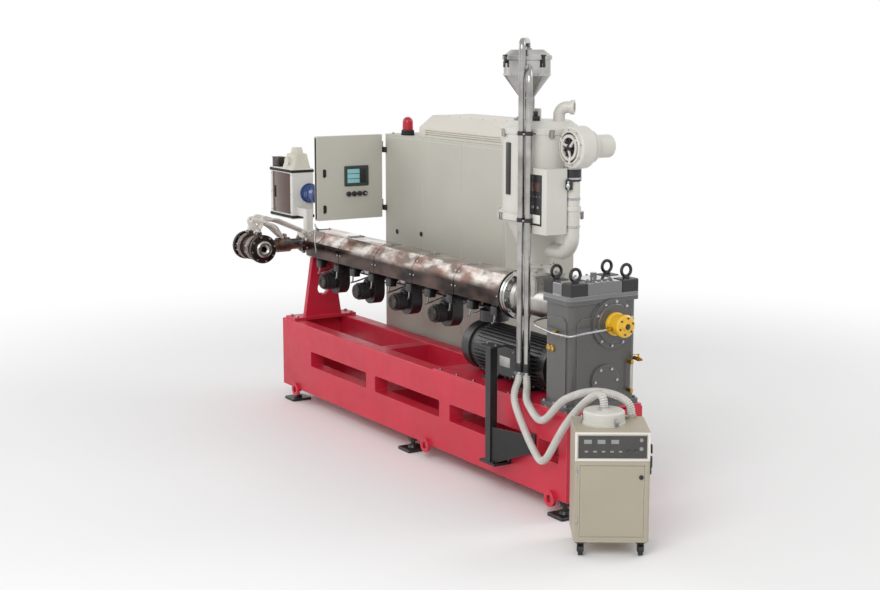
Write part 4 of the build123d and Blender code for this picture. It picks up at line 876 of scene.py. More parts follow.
class EXTRUDER_OT_gearbox_fittings(bpy.types.Operator):
    """Add the gearbox's screws, valves, sight glasses, oil pipe and pump hub"""

    bl_idname = "extruder.gearbox_fittings"
    bl_label = "Gearbox fittings"

    def execute(self, context):
        bm = bmesh.new()
        for distance, depth in product((38, 135, 232), (-244, 244)):
            screw(bm, at(distance, SCREW_Y + depth, 642), UPWARD, 0.017)
        for depth, distance in product((-60, -20, 20, 60), (12, 258)):
            screw(bm, at(distance, SCREW_Y + depth, 1330), UPWARD, 0.013)
        for distance, depth in product((71, 199), (-74, 74)):
            screw(bm, at(distance, SCREW_Y + depth, 1338), UPWARD, 0.011)
        bolt_circle(screw, bm, at(-14, *PUMP), TO_DRIVE_END, 0.126, 10, 0.2, 0.015)
        bolt_circle(screw, bm, at(-14, SCREW_Y, 772), TO_DRIVE_END, 0.076, 6, 0.0, 0.015)
        put("gearbox_screws", bm, "zinc_plated_screws")

        bm = bmesh.new()
        glasses = bmesh.new()
        for distance in (205, 168):
            glass = at(distance, 30, 952)
            turning(
                bm, glass, TO_OPERATOR,
                [(0.011, 0), (0.019, 0), (0.019, 0.008), (0.016, 0.01), (0.011, 0.01), (0.011, 0)], 24,
            )
            rod(glasses, glass, TO_OPERATOR, 0.0112, 0.005, 24)
        # Level gauge: a glass tube between two cocks.
        for height in (865, 700):
            rod(bm, at(0, GAUGE_DEPTH, height), TO_DRIVE_END, 0.011, 0.02, 6)
            rod(bm, at(-20, GAUGE_DEPTH, height), TO_DRIVE_END, 0.008, 0.012, 16)
            block(bm, at(-30, GAUGE_DEPTH, height), (0.02, 0.02, 0.022), 0.003)
        rod(glasses, at(-30, GAUGE_DEPTH, 708), UPWARD, 0.0065, 0.15, 14)
        # Drain valve with its lever and hose tail.
        rod(bm, at(0, VALVE_DEPTH, 880), TO_DRIVE_END, 0.012, 0.026, 6)
        turning(
            bm, at(-26, VALVE_DEPTH, 880), TO_DRIVE_END,
            [(0, 0), (0.009, 0), (0.013, 0.006), (0.013, 0.02), (0.009, 0.026), (0.007, 0.044),
             (0, 0.044)], 20,
        )
        rod(bm, at(-40, VALVE_DEPTH, 890), UPWARD, 0.005, 0.016, 10)
        block(bm, at(-40, VALVE_DEPTH - 18, 908), (0.008, 0.05, 0.004), 0.0015)
        put("gearbox_valves", bm, "brass")
        put("gearbox_sight_glasses", glasses, "clear_hose_wall")

        bm = bmesh.new()
        corners = (
            (-70, 252, 1078), (-70, 60, 1070), (-52, -14, 1056), (120, -16, 1052), (300, -8, 1068),
            (352, 30, 1082), (352, 168, 1098),
        )
        bent_pipe(bm, [at(*corner) for corner in corners], 0.0065, 0.03, 12)
        put("oil_pipe", bm, "zinc_plated_screws", angle=60.0)
        bm = bmesh.new()
        rod(bm, at(-70, 262, 1079), TO_OPERATOR, 0.013, 0.03, 6, 0.001)
        rod(bm, at(-70, 240, 1077), TO_OPERATOR, 0.01, 0.02, 16)
        rod(bm, at(352, 172, 1098), TO_OPERATOR, 0.013, 0.03, 6, 0.001)
        block(bm, at(120, 12, 1052), (0.02, 0.036, 0.02), 0.003)
        put("oil_pipe_unions", bm, "brass")

        bm = bmesh.new()
        turning(
            bm, at(-128, *PUMP), TO_DRIVE_END,
            [(0, 0), (0.017, 0), (0.017, 0.013), (0.014, 0.015), (0, 0.015)], 30,
        )
        rod(bm, at(-142, *PUMP), TO_DRIVE_END, 0.009, 0.004, 6)
        bolt_circle(socket_screw, bm, at(-128, *PUMP), TO_DRIVE_END, 0.046, 6, 0.3, 0.011)
        put("pump_hub", bm, "black_satin_enamel")
        return {"FINISHED"}


class EXTRUDER_OT_drive_fittings(bpy.types.Operator):
    """Add the motor's lifting eye, bare plate, cable glands and screws"""

    bl_idname = "extruder.drive_fittings"
    bl_label = "Motor fittings"

    def execute(self, context):
        bm = bmesh.new()
        foot = at(790, SCREW_Y, 930)
        rod(bm, foot, UPWARD, 0.014, 0.012, 16)
        loop = [place + Vector((0, 0, 0.034)) for place in circle_places(foot, (0, 1, 0), 0.022, 20)]
        loop.append(loop[0] + Vector((0, 0, 0.0001)))
        tube(bm, loop, [0.0055] * len(loop), 10)
        for distance, height in product((556, 744), (716, 860)):
            screw(bm, at(distance, 31, height), TO_OPERATOR, 0.01)
        for depth, distance in product((-83, 83), (570, 630, 950, 1010)):
            screw(bm, at(distance, SCREW_Y + depth, 632), UPWARD, 0.017)
        rod(bm, at(1270, SCREW_Y - 20, 772), TO_DIE_END, 0.004, 0.002, 8)
        put("motor_screws", bm, "zinc_plated_screws")

        bm = bmesh.new()
        for distance in (600, 650, 700):
            rod(bm, at(distance, 76, 709), DOWNWARD, 0.017, 0.014, 6)
            rod(bm, at(distance, 76, 695), DOWNWARD, 0.013, 0.022, 18, 0.003, 0.01)
        put("motor_cable_glands", bm, "black_nylon")

        bm = bmesh.new()
        block(bm, at(650, 30.5, 788), (0.11, 0.0015, 0.06), 0.0006)
        put("motor_plate", bm, "polished_stainless")
        return {"FINISHED"}


# Fittings of the barrel and the die end.


class EXTRUDER_OT_barrel_fittings(bpy.types.Operator):
    """Add the covers' screws and straps, the cable duct, the conduits and the blowers' caps"""

    bl_idname = "extruder.barrel_fittings"
    bl_label = "Barrel fittings"

    def execute(self, context):
        bm = bmesh.new()
        slope = Vector((0, -0.766, 0.643))
        for centre in ZONE_CENTRES:
            for offset in (-235, 235):
                rivet(bm, at(centre + offset, SCREW_Y - 110, SCREW_Z + 84), slope, 0.007, 16)
                rivet(bm, at(centre + offset, SCREW_Y - 140, SCREW_Z - 4), TO_OPERATOR, 0.006, 14)
            for offset in (-238, 238):
                block(bm, at(centre + offset, SCREW_Y, SCREW_Z + 124), (0.014, 0.12, 0.004), 0.0015)
                for depth in (-45, 45):
                    place = at(centre + offset, SCREW_Y + depth, SCREW_Z + 126)
                    socket_screw(bm, place, UPWARD, 0.009)
        bolt_circle(screw, bm, at(800, SCREW_Y, SCREW_Z), TO_DRIVE_END, 0.13, 12, 0.13, 0.019)
        for depth in (-120, 120):
            screw(bm, at(3505, SCREW_Y + depth, SCREW_Z + 35), UPWARD, 0.024)
            rod(bm, at(3505, SCREW_Y + depth, SCREW_Z - 35), DOWNWARD, 0.014, 0.02, 6)
        bolt_circle(screw, bm, at(3554, SCREW_Y, SCREW_Z), TO_DIE_END, 0.085, 8, 0.3, 0.015)
        for distance, depth in product((3410, 3500), (40, 490)):
            screw(bm, at(distance, depth, 620), UPWARD, 0.022)
        put("barrel_screws", bm, "zinc_plated_screws")

        # Black ring on the barrel side of the silver flange.
        bm = bmesh.new()
        ring(bm, at(862, SCREW_Y, SCREW_Z), TO_DRIVE_END, 0.12, 0.149, 0.007, 56)
        # Duct for the heaters' wiring, hung behind the blowers, with its lid and hangers.
        block(bm, at(2290, SCREW_Y + 150, 1000), (2.36, 0.06, 0.07), 0.003)
        block(bm, at(2290, SCREW_Y + 150, 1037), (2.37, 0.066, 0.006), 0.002)
        for centre, offset in product(ZONE_CENTRES, (-180, 180)):
            block(bm, at(centre + offset, SCREW_Y + 118, 1044), (0.03, 0.05, 0.016), 0.003)
        # Terminal boxes of the heaters under each cover's operator side.
        for centre, offset in product(ZONE_CENTRES, (-150, 120)):
            block(bm, at(centre + offset, SCREW_Y - 84, 1030), (0.07, 0.05, 0.055), 0.006)
        put("heater_wiring_duct", bm, "black_satin_enamel")

        bm = bmesh.new()
        for centre, (offset, rise) in product(ZONE_CENTRES, ((-150, 0), (120, 6))):
            corners = (
                (0, -100, 1006), (0, -102, 958 + rise), (46, -96, 944 + rise), (84, -20, 952),
                (84, 112, 985),
            )
            start = centre + offset
            bent_pipe(bm, [at(start + x, SCREW_Y + y, z) for x, y, z in corners], 0.0055, 0.022)
        put("heater_conduits", bm, "polished_stainless", angle=60.0)

        # Blower motors: dark end covers with cooling holes.
        bm = bmesh.new()
        for centre in ZONE_CENTRES[1:]:
            front = at(centre, SCREW_Y - 140, 915)
            turning(
                bm, front, TO_OPERATOR,
                [(0, 0.006), (0.018, 0.006), (0.02, 0.01), (0.044, 0.01), (0.05, 0.004), (0.05, 0),
                 (0.03, 0)], 36,
            )
            for place in circle_places(front + Vector((0, -0.0095, 0)), TO_OPERATOR, 0.033, 8):
                rod(bm, place, TO_OPERATOR, 0.004, 0.003, 8)
            block(bm, at(centre + 55, SCREW_Y, SCREW_Z - 112), (0.1, 0.1, 0.008), 0.002)
        turning(
            bm, at(ZONE_CENTRES[0], SCREW_Y, SCREW_Z - 196), DOWNWARD,
            [(0, 0.004), (0.055, 0.004), (0.06, 0), (0.05, 0)], 32,
        )
        put("blower_end_covers", bm, "blackened_die_steel")

        bm = bmesh.new()
        for centre in ZONE_CENTRES[1:]:
            block(bm, at(centre - 22, SCREW_Y - 62, 977), (0.052, 0.036, 0.03), 0.004)
            rod(bm, at(centre - 22, SCREW_Y - 80, 976), TO_OPERATOR, 0.007, 0.018, 12)
        put("blower_terminal_boxes", bm, "black_nylon")
        return {"FINISHED"}


class EXTRUDER_OT_crosshead_fittings(bpy.types.Operator):
    """Add the crosshead's die ring, screws, heater sockets and sleeved leads"""

    bl_idname = "extruder.crosshead_fittings"
    bl_label = "Crosshead fittings"

    def execute(self, context):
        depth = CROSSHEAD_DEPTH
        bm = bmesh.new()
        back = at(DIE_FACE - 320, depth, SCREW_Z)
        turning(
            bm, at(DIE_FACE, depth, SCREW_Z), TO_DIE_END,
            [(0.024, 0), (0.07, 0), (0.07, 0.012), (0.062, 0.02), (0.03, 0.02), (0.024, 0.014),
             (0.024, 0)], 48,
        )
        bolt_circle(socket_screw, bm, back, TO_DRIVE_END, 0.09, 8, 0.2, 0.016)
        turning(
            bm, back, TO_DRIVE_END,
            [(0.022, 0), (0.06, 0), (0.06, 0.016), (0.05, 0.024), (0.034, 0.024), (0.022, 0.014),
             (0.022, 0)], 40,
        )
        put("crosshead_rings", bm, "turned_steel")

        bm = bmesh.new()
        for distance, side in product(CROSSHEAD_HEATERS, (-1, 1)):
            screw(bm, at(distance + 17 * side, depth - 17, SCREW_Z + 106), TO_OPERATOR, 0.013)
            block(bm, at(distance, depth - 98, SCREW_Z + 22 * side), (0.04, 0.012, 0.006), 0.001)
        for share in (0.6, 1.4, 2.3):
            rod(bm, at(3640 - 26 * share, 40, SCREW_Z + 54), UPWARD, 0.006, 0.03, 10)
        put("crosshead_clamp_screws", bm, "zinc_plated_screws")

        # Ceramic sockets of the heaters, with their sleeved leads gathered towards the adapter.
        bm = bmesh.new()
        for distance in CROSSHEAD_HEATERS:
            block(bm, at(distance, depth + 2, SCREW_Z + 126), (0.036, 0.03, 0.03), 0.004)
        block(bm, at(3612, SCREW_Y - 62, SCREW_Z + 84), (0.04, 0.03, 0.03), 0.004)
        for number, distance in product(range(5), CROSSHEAD_HEATERS):
            shift = 13 * number - 12
            corners = [
                at(distance - 12 + shift, depth + 4, SCREW_Z + 140),
                at(distance - 12 + shift, depth + 40, SCREW_Z + 200 + 16 * (number % 3)),
                at(3625 + shift, depth + 190, SCREW_Z + 196 - 6 * number),
                at(3625 + shift, SCREW_Y - 70, SCREW_Z + 100 - 4 * number),
            ]
            bent_pipe(bm, corners, 0.008, 0.035)
        for number in range(6):
            swing = 30 * (number % 3) - 30
            start = at(3692 - 29 * number, depth + 10, SCREW_Z + 118)
            rise = Vector((0.02 + swing * MM, -0.03 - 0.012 * number, 0.09 + 0.02 * (number % 2)))
            corners = [
                start, start + rise,
                at(3640 - 22 * number - swing, depth + 120, SCREW_Z + 150 + 14 * (number % 2)),
                at(3650 - 16 * number, depth + 210, SCREW_Z + 60),
            ]
            bent_pipe(bm, corners, 0.0085, 0.04)
        put("heater_lead_bundles", bm, "white_glass_sleeve", angle=60.0)

        bm = bmesh.new()
        corners = (
            (3400, -60, 128), (3372, -92, 176), (3300, -120, 150), (3262, -150, 60), (3262, -128, -66)
        )
        bent_pipe(bm, [at(x, SCREW_Y + y, SCREW_Z + z) for x, y, z in corners], 0.005, 0.03)
        rod(bm, at(3400, SCREW_Y - 60, SCREW_Z + 122), UPWARD, 0.009, 0.014, 6)
        put("thermocouple_lead", bm, "zinc_plated_screws", angle=60.0)
        return {"FINISHED"}


class EXTRUDER_OT_head_box_fittings(bpy.types.Operator):
    """Add the white box's window, gaskets, screws, junction box and motor ribs"""

    bl_idname = "extruder.head_box_fittings"
    bl_label = "Head box fittings"

    def execute(self, context):
        low, high, middle = node_box("head_box")
        front = low.y + 0.004
        bm = bmesh.new()
        block(bm, (middle.x, front + 0.007, middle.z), (0.304, 0.004, 0.304), 0.001)
        put("head_box_window", bm, "tinted_acrylic")

        bm = bmesh.new()
        for height in (1318, 1662):
            centre = Vector((middle.x, middle.y, height * MM))
            for side in (-0.0906, 0.0906):
                block(bm, centre + Vector((0, side, 0)), (0.384, 0.007, 0.02), 0.001)
            block(bm, centre + Vector((0.1906, 0, 0)), (0.007, 0.184, 0.02), 0.001)
            block(bm, centre + Vector((-0.1904, 0, 0)), (0.006, 0.184, 0.02), 0.001)
        block(bm, (middle.x - 0.12, front + 0.003, middle.z), (0.006, 0.006, 0.09), 0.002)
        put("head_box_gaskets", bm, "black_rubber")

        bm = bmesh.new()
        for across, up in product((-0.165, 0.165), (-0.14, 0, 0.14)):
            socket_screw(bm, (middle.x + across, front, middle.z + up), TO_OPERATOR, 0.008)
        for across, deep in product((0.009, 0.159), (-0.06, 0.06)):
            socket_screw(bm, (middle.x + across, middle.y + deep, high.z), UPWARD, 0.009)
        put("head_box_screws", bm, "zinc_plated_screws")

        bm = bmesh.new()
        block(bm, at(4108, 250, 1714), (0.11, 0.07, 0.068), 0.006)
        block(bm, at(4108, 250, 1750), (0.116, 0.076, 0.006), 0.002)
        put("head_box_junction_box", bm, "blackened_die_steel")

        bm = bmesh.new()
        low, high, axis = node_box("head_box_motor")
        for number in range(7):
            place = (low.x + 0.03 + 0.012 * number, axis.y, axis.z)
            ring(bm, place, TO_DRIVE_END, 0.06, 0.0675, 0.003, 40)
        block(bm, (axis.x - 0.01, axis.y - 0.058, axis.z), (0.05, 0.026, 0.04), 0.005)
        put("head_box_motor_ribs", bm, "blue_motor_enamel")
        return {"FINISHED"}


# Fittings of the cabinet and its panel door.


class EXTRUDER_OT_cabinet_fittings(bpy.types.Operator):
    """Add the cabinet's locks, grille and roof screws and the lamp's foot"""

    bl_idname = "extruder.cabinet_fittings"
    bl_label = "Cabinet fittings"

    def execute(self, context):
        bm = bmesh.new()
        for distance, height in ((2893, 1280), (2555, 1298)):
            turning(
                bm, at(distance, 597, height), TO_OPERATOR,
                [(0, 0), (0.017, 0), (0.017, 0.005), (0.013, 0.008), (0.006, 0.008), (0.006, 0.004),
                 (0, 0.004)], 24,
            )
        # Louvre frame on the end towards the drive.
        block(bm, at(1500.5, 875, 524), (0.003, 0.33, 0.27), 0.001)
        for slot in range(12):
            block(bm, at(1499, 875, 414 + 20 * slot), (0.004, 0.3, 0.006), 0.001)
        put("cabinet_locks_and_grilles", bm, "black_nylon")

        bm = bmesh.new()
        for distance, depth in product((3020, 1550), (640, 1110)):
            screw(bm, at(distance, depth, 1975), UPWARD, 0.017)
        low, high, _ = node_box("cabinet_roof_unit")
        for number in range(8):
            along = low.x + 0.05 + (high.x - low.x - 0.1) * number / 7
            socket_screw(bm, (along, low.y + 0.122, low.z + 0.146), UPWARD, 0.008)
        put("cabinet_screws", bm, "zinc_plated_screws")

        bm = bmesh.new()
        low, _, middle = node_box("alarm_light")
        turning(
            bm, (middle.x, middle.y, low.z), UPWARD,
            [(0, 0), (0.0484, 0), (0.0484, 0.004), (0.0446, 0.035), (0.0386, 0.0405), (0.02, 0.0405)],
            40,
        )
        put("lamp_foot", bm, "black_rubber")
        return {"FINISHED"}


class EXTRUDER_OT_panel_fittings(bpy.types.Operator):
    """Add the panel door's display, keys, latches and seal"""

    bl_idname = "extruder.panel_fittings"
    bl_label = "Panel fittings"

    def execute(self, context):
        _, high, middle = node_box("touch_screen")
        face = high.x
        bm = bmesh.new()
        block(bm, (face - 0.0022, middle.y - 0.026, middle.z), (0.0016, 0.098, 0.1), 0.0004)
        put("panel_display", bm, "lit_display", DOOR)
        bm = bmesh.new()
        keys_y = middle.y + 0.052
        block(bm, (face - 0.0016, keys_y, middle.z), (0.003, 0.046, 0.1), 0.0006)
        for up in (-0.03, 0.0, 0.03):
            rod(bm, (face - 0.0002, keys_y, middle.z + up), TO_DRIVE_END, 0.007, 0.0024, 20)
        put("panel_display_keys", bm, "black_nylon", DOOR)

        # A black collar on each round key, and a grey cap on the last.
        low, high, middle = node_box("panel_buttons")
        bm = bmesh.new()
        caps = bmesh.new()
        for place in range(4):
            centre = Vector((low.x + 0.008, low.y + 0.017 + 0.044 * place, middle.z))
            turning(
                bm, centre, TO_DRIVE_END,
                [(0.0122, 0), (0.0185, 0), (0.0185, 0.006), (0.0145, 0.008), (0.0122, 0.008),
                 (0.0122, 0)], 28,
            )
        rod(caps, (high.x - 0.0004, centre.y, centre.z), TO_DRIVE_END, 0.0085, 0.0012, 24)
        put("key_rings", bm, "black_nylon", DOOR)
        put("key_caps", caps, "grey_keys", DOOR)

        low, high, middle = node_box("operator_panel")
        edge = low.y
        tall = high.z - low.z
        bm = bmesh.new()
        for height in (low.z + 0.08, low.z + 0.337):
            block(bm, (high.x - 0.001, edge + 0.06, height), (0.01, 0.026, 0.05), 0.003)
            block(bm, (high.x + 0.003, edge + 0.056, height), (0.006, 0.014, 0.06), 0.002)
        block(bm, (middle.x, edge - 0.001, middle.z), (0.02, 0.004, tall - 0.02), 0.0015)
        # Rubber seal round the back of the door, thinner than the gap that it closes.
        back = low.x - 0.0005
        width = 0.53
        middle_y = edge + width / 2
        for side in (-1, 1):
            up = middle.z + side * (tall / 2 - 0.009)
            block(bm, (back, middle_y, up), (0.005, width - 0.02, 0.01), 0.002)
            along = middle_y + side * (width / 2 - 0.009)
            block(bm, (back, along, middle.z), (0.005, 0.01, tall - 0.02), 0.002)
        put("door_latches_and_seal", bm, "black_rubber", DOOR)
        return {"FINISHED"}


# Fittings of the dryer, the receiver and the suction unit.


class EXTRUDER_OT_dryer_fittings(bpy.types.Operator):
    """Add the dryer's sight window, lid knob, control panel, latches and slide gate"""

    bl_idname = "extruder.dryer_fittings"
    bl_label = "Dryer fittings"

    def execute(self, context):
        axis = at(DRYER, SCREW_Y, 0)
        bm = bmesh.new()
        # Tall sight window on the drum's operator side.
        block(bm, axis + Vector((0, -0.2262, 1.925)), (0.044, 0.009, 0.3), 0.003)
        # Sensor knob on the lid.
        rod(bm, axis + Vector((0.03, -0.06, 2.194)), UPWARD, 0.026, 0.03, 24, 0.004)
        rod(bm, axis + Vector((0.03, -0.06, 2.224)), UPWARD, 0.014, 0.026, 16, 0.003)
        # Dark panel of the control box, with its keys, display and bare label.
        low, _, middle = node_box("dryer_control_box")
        x = middle.x - 0.008
        z = middle.z + 0.006
        face = low.y + 0.0012
        block(bm, (x, low.y + 0.002, z), (0.135, 0.002, 0.289), 0.0006)
        put("dryer_dark_fittings", bm, "black_nylon")

        bm = bmesh.new()
        for column in range(2):
            block(bm, (x - 0.02 + 0.046 * column, face, z - 0.04), (0.016, 0.002, 0.014), 0.0008)
        for column in range(4):
            lamp = (x - 0.042 + 0.028 * column, face + 0.001, z + 0.02)
            rod(bm, lamp, TO_OPERATOR, 0.0035, 0.002, 12)
        put("dryer_keys", bm, "grey_keys")
        bm = bmesh.new()
        block(bm, (x, face, z + 0.075), (0.09, 0.002, 0.05), 0.001)
        put("dryer_display", bm, "tinted_acrylic")
        bm = bmesh.new()
        block(bm, (x, face, z - 0.108), (0.1, 0.002, 0.05), 0.001)
        put("dryer_bare_label", bm, "white_powder_coat")

        # Toggle latches round the ring and the lid, screws and the slide gate's pull.
        bm = bmesh.new()
        for degrees, (height, reach) in product(
            (-150, -100, -20, 40, 90, 150), ((2.128, 0.236), (1.648, 0.25))
        ):
            turn, out, side = headings(degrees)
            foot = axis + out * reach + Vector((0, 0, height))
            block(bm, foot, (0.012, 0.03, 0.044), 0.003, turn)
            for half in (-1, 1):
                wire = foot + side * 0.011 * half + out * 0.007 - Vector((0, 0, 0.02))
                rod(bm, wire, UPWARD, 0.0022, 0.044, 8)
            rod(bm, foot + out * 0.008 + Vector((0, 0, 0.022)) - side * 0.014, side, 0.0035, 0.028, 10)
        gate = at(480, SCREW_Y, 1328)
        rod(bm, gate, TO_DRIVE_END, 0.005, 0.034, 12)
        rod(bm, gate + Vector((0.034, -0.02, 0)), (0, 1, 0), 0.006, 0.04, 12)
        for across, deep in product((-85, 85), (-85, 85)):
            screw(bm, at(DRYER + across, SCREW_Y + deep, 1316), UPWARD, 0.015)
        bolt_circle(screw, bm, at(DRYER, SCREW_Y, 1354), UPWARD, 0.083, 8, 0.3, 0.01)
        put("dryer_latches", bm, "polished_stainless")
        return {"FINISHED"}


class EXTRUDER_OT_blower_fittings(bpy.types.Operator):
    """Add the dryer blower's wheel, inlet guard, outlet sleeve and screws and the duct's clamps"""

    bl_idname = "extruder.blower_fittings"
    bl_label = "Dryer blower fittings"

    def execute(self, context):
        centre = at(285, SCREW_Y - 45, 2060)
        front = centre + Vector((0, -0.001, 0))
        bm = bmesh.new()
        rod(bm, centre, TO_OPERATOR, 0.088, 0.002, 48)
        self.spokes(
            bm, centre, 10, 0.0, ((0.014, 0, -0.006), (0.034, 0.006, -0.008), (0.054, 0.02, -0.008)),
            (0.0035, 0.0045, 0.003), 8,
        )
        turning(
            bm, front, TO_OPERATOR, [(0, 0), (0.02, 0), (0.02, 0.014), (0.013, 0.02), (0, 0.02)], 24
        )
        # Black sleeve on the outlet, and the valve's body beside it.
        turning(
            bm, at(*DUCT, 1925), UPWARD,
            [(DUCT_RADIUS, -0.06), (DUCT_SLEEVE_RADIUS, -0.058), (DUCT_SLEEVE_RADIUS, 0.02),
             (DUCT_RADIUS, 0.022), (DUCT_RADIUS, -0.06)], 36,
        )
        block(bm, at(300, SCREW_Y - 46, 1850), (0.04, 0.036, 0.06), 0.006)
        put("blower_inlet_fan", bm, "black_nylon")

        bm = bmesh.new()
        self.spokes(
            bm, centre, 3, 0.5, ((0.016, 0, -0.011), (0.05, 0.012, -0.011), (0.09, 0.004, -0.011)),
            (0.009, 0.0075, 0.009), 10,
        )
        turning(
            bm, front, TO_OPERATOR,
            [(0.086, 0), (0.094, 0), (0.094, 0.008), (0.09, 0.012), (0.086, 0.012), (0.086, 0)], 48,
        )
        put("blower_inlet_guard", bm, "dryer_powder_coat")

        bm = bmesh.new()
        for height in (1760, 1600):
            ring(bm, at(*DUCT, height), UPWARD, DUCT_RADIUS, DUCT_RADIUS + 0.003, 0.012, 36)
            rod(bm, at(346, SCREW_Y - 46, height + 6), TO_DRIVE_END, 0.004, 0.024, 8)
        for height in (1878, 1936):
            inner = DUCT_SLEEVE_RADIUS
            ring(bm, at(*DUCT, height), UPWARD, inner, inner + 0.002, 0.01, 36)
        rod(bm, at(292, SCREW_Y - 50, 1846), (0.7, -0.7, 0), 0.011, 0.03, 16, 0.002)
        rod(bm, at(280, SCREW_Y - 62, 1822), UPWARD, 0.006, 0.05, 12, 0.001)
        bolt_circle(socket_screw, bm, centre, TO_OPERATOR, 0.102, 8, 0.2, 0.009)
        corners = ((320, -50, 1845), (318, -52, 1790), (352, -60, 1768), (420, -50, 1768))
        bent_pipe(bm, [at(x, SCREW_Y + y, z) for x, y, z in corners], 0.007, 0.02)
        put("blower_clamps_and_screws", bm, "zinc_plated_screws")
        return {"FINISHED"}

    def spokes(self, bm, centre, count, first, steps, radii, segments):
        """Curved spokes in an upright circle. Each step is outwards, sideways and towards the back."""
        for number in range(count):
            turn = 2 * math.pi * number / count + first
            out = Vector((math.cos(turn), 0, math.sin(turn)))
            side = Vector((-out.z, 0, out.x))
            points = [centre + out * x + side * y + Vector((0, z, 0)) for x, y, z in steps]
            tube(bm, points, radii, segments)


class EXTRUDER_OT_receiver_fittings(bpy.types.Operator):
    """Add the receiver's toggle clamps, level switch and seams and the risers' clamps"""

    bl_idname = "extruder.receiver_fittings"
    bl_label = "Receiver fittings"

    def execute(self, context):
        axis = at(700, SCREW_Y - 60, 0)
        bm = bmesh.new()
        for degrees in (-95, 5, 115, 190):
            turn, out, side = headings(degrees)
            foot = axis + out * 0.142 + Vector((0, 0, 2.548))
            block(bm, foot, (0.012, 0.026, 0.05), 0.003, turn)
            rod(bm, foot + out * 0.008 + Vector((0, 0, 0.02)) - side * 0.014, side, 0.004, 0.028, 10)
            block(bm, foot + out * 0.009 - Vector((0, 0, 0.03)), (0.006, 0.02, 0.036), 0.002, turn)
        # Level switch on the neck.
        rod(bm, axis + Vector((0.03, -0.045, 2.27)), (0.4, -0.9, 0), 0.012, 0.034, 16, 0.003)
        block(bm, axis + Vector((0.058, -0.04, 2.30)), (0.03, 0.024, 0.044), 0.004, 0.4)
        for riser in RISERS:
            # Clamps that hold the riser to its stays, and the rubber sleeve where it meets its hose.
            for height in (1632, 2124):
                ring(bm, at(*riser, height), UPWARD, RISER_RADIUS, 0.0235, 0.024)
            turning(
                bm, at(*riser, 758), UPWARD,
                [(RISER_RADIUS, 0), (0.0225, 0), (0.0225, 0.05), (0.0205, 0.054),
                 (RISER_RADIUS, 0.054), (RISER_RADIUS, 0)], 28,
            )
        put("receiver_clamps", bm, "black_nylon")

        bm = bmesh.new()
        bolt_circle(screw, bm, axis + Vector((0, 0, 2.208)), UPWARD, 0.062, 6, 0.4, 0.011)
        turning(
            bm, axis + Vector((0, 0, 2.452)), UPWARD,
            [(0.136, 0), (0.139, 0.002), (0.139, 0.008), (0.136, 0.01), (0.136, 0)], 56,
        )
        put("receiver_seams", bm, "zinc_plated_screws")
        return {"FINISHED"}


class EXTRUDER_OT_unit_fittings(bpy.types.Operator):
    """Add the suction unit's panel frame, knobs, keys, lock, plug, latches and caster caps"""

    bl_idname = "extruder.unit_fittings"
    bl_label = "Suction unit fittings"

    def execute(self, context):
        turn = UNIT_TURN
        outward = Matrix.Rotation(turn, 3, "Z") @ Vector((0, -1, 0))
        sideways = Matrix.Rotation(turn, 3, "Z") @ Vector((1, 0, 0))
        bm = bmesh.new()
        # White frame round the band of controls.
        for height in (522, 663):
            block(bm, on_unit(0, -170.5, height), (0.388, 0.004, 0.011), 0.002, turn)
        for across in (-188, 188):
            block(bm, on_unit(across, -170.5, 592), (0.012, 0.004, 0.142), 0.002, turn)
        put("unit_panel_frame", bm, "white_powder_coat")

        bm = bmesh.new()
        for height in (628, 582):
            knob = on_unit(148, -167.5, height)
            turning(bm, knob, outward, [(0, 0), (0.011, 0), (0.009, 0.009), (0, 0.009)], 24)
        for place in range(5):
            block(bm, on_unit(-135 + 44 * place, -167.2, 566), (0.018, 0.0015, 0.009), 0.0006, turn)
        for place in range(3):
            block(bm, on_unit(-128 + 70 * place, -167.2, 618), (0.04, 0.0015, 0.022), 0.0008, turn)
        put("unit_keys", bm, "grey_keys")

        # Quarter-turn lock, and the plug in its holder, which stands out from the side.
        bm = bmesh.new()
        rod(bm, on_unit(150, -170, 430), outward, 0.012, 0.006, 20, 0.002)
        block(bm, on_unit(210, 20, 548), (0.036, 0.03, 0.018), 0.004, turn)
        block(bm, on_unit(224, 20, 528), (0.008, 0.03, 0.04), 0.003, turn)
        block(bm, on_unit(197, 20, 500), (0.008, 0.05, 0.11), 0.003, turn)
        rod(bm, on_unit(214, 20, 492), DOWNWARD, 0.0155, 0.062, 18, 0.004)
        rod(bm, on_unit(214, 20, 430), DOWNWARD, 0.012, 0.036, 14, 0.002)
        put("unit_handle_and_plug", bm, "black_nylon")

        bm = bmesh.new()
        corners = ((196, 60, 588), (222, 60, 592), (224, 110, 560), (206, 110, 532))
        bent_pipe(bm, [on_unit(*corner) for corner in corners], 0.0045, 0.014)
        for degrees in (-60, 60, 180):
            latch_turn, out, _ = headings(math.degrees(turn) + degrees)
            place = on_unit(*CANISTER, 694) + out * 0.117
            block(bm, place, (0.008, 0.024, 0.04), 0.002, latch_turn)
        for height in (180, 440):
            rod(bm, on_unit(-183, -172, height), UPWARD, 0.005, 0.034, 12)
        put("unit_bright_fittings", bm, "zinc_plated_screws")

        bm = bmesh.new()
        for across, back, side in product((-157, 157), (-132, 132), (-1, 1)):
            hub = on_unit(across + side * 12, back, 29)
            rod(bm, hub, sideways * side, 0.012, 0.003, 20, 0.001)
        put("caster_hub_caps", bm, "turned_steel")
        return {"FINISHED"}


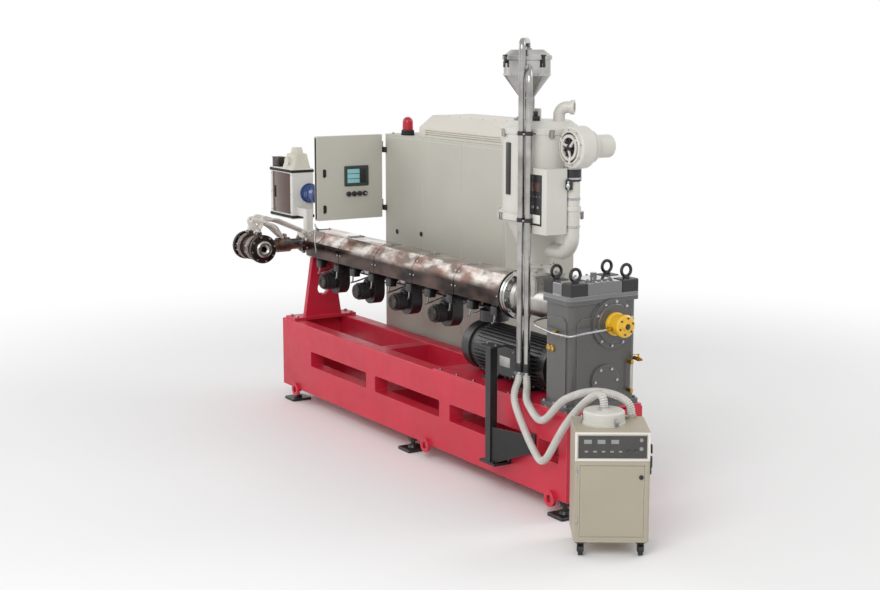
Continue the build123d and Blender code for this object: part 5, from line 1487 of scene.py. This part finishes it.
class EXTRUDER_PT_sidebar(bpy.types.Panel):
    """Lists the extruder's settings and its pieces"""

    bl_idname = "EXTRUDER_PT_sidebar"
    bl_label = "Extruder"
    bl_space_type = "VIEW_3D"
    bl_region_type = "UI"
    bl_category = "Extruder"

    def draw(self, context):
        layout = self.layout
        scene = context.scene
        for group in (scene.extruder_colours, scene.extruder_sizes, scene.extruder_stage):
            box = layout.box()
            for name in group.bl_rna.properties.keys():
                if name not in ("rna_type", "name"):
                    box.prop(group, name)
        for operator in OPERATORS:
            layout.operator(operator.bl_idname)


GROUPS = (EXTRUDER_PG_colours, EXTRUDER_PG_sizes, EXTRUDER_PG_stage)
OPERATORS = (
    EXTRUDER_OT_camera,
    EXTRUDER_OT_stage,
    EXTRUDER_OT_finishes,
    EXTRUDER_OT_hoses,
    EXTRUDER_OT_frame_fittings,
    EXTRUDER_OT_gearbox_fittings,
    EXTRUDER_OT_drive_fittings,
    EXTRUDER_OT_barrel_fittings,
    EXTRUDER_OT_crosshead_fittings,
    EXTRUDER_OT_head_box_fittings,
    EXTRUDER_OT_cabinet_fittings,
    EXTRUDER_OT_panel_fittings,
    EXTRUDER_OT_dryer_fittings,
    EXTRUDER_OT_blower_fittings,
    EXTRUDER_OT_receiver_fittings,
    EXTRUDER_OT_unit_fittings,
)
CLASSES = GROUPS + OPERATORS + (EXTRUDER_PT_sidebar,)


def register():
    for each in CLASSES:
        bpy.utils.register_class(each)
    bpy.types.Scene.extruder_colours = PointerProperty(type=EXTRUDER_PG_colours)
    bpy.types.Scene.extruder_sizes = PointerProperty(type=EXTRUDER_PG_sizes)
    bpy.types.Scene.extruder_stage = PointerProperty(type=EXTRUDER_PG_stage)


def unregister():
    del bpy.types.Scene.extruder_stage
    del bpy.types.Scene.extruder_sizes
    del bpy.types.Scene.extruder_colours
    for each in reversed(CLASSES):
        bpy.utils.unregister_class(each)


def main():
    register()
    for operator in OPERATORS:
        family, name = operator.bl_idname.split(".")
        getattr(getattr(bpy.ops, family), name)()


if __name__ == "__main__":
    main()
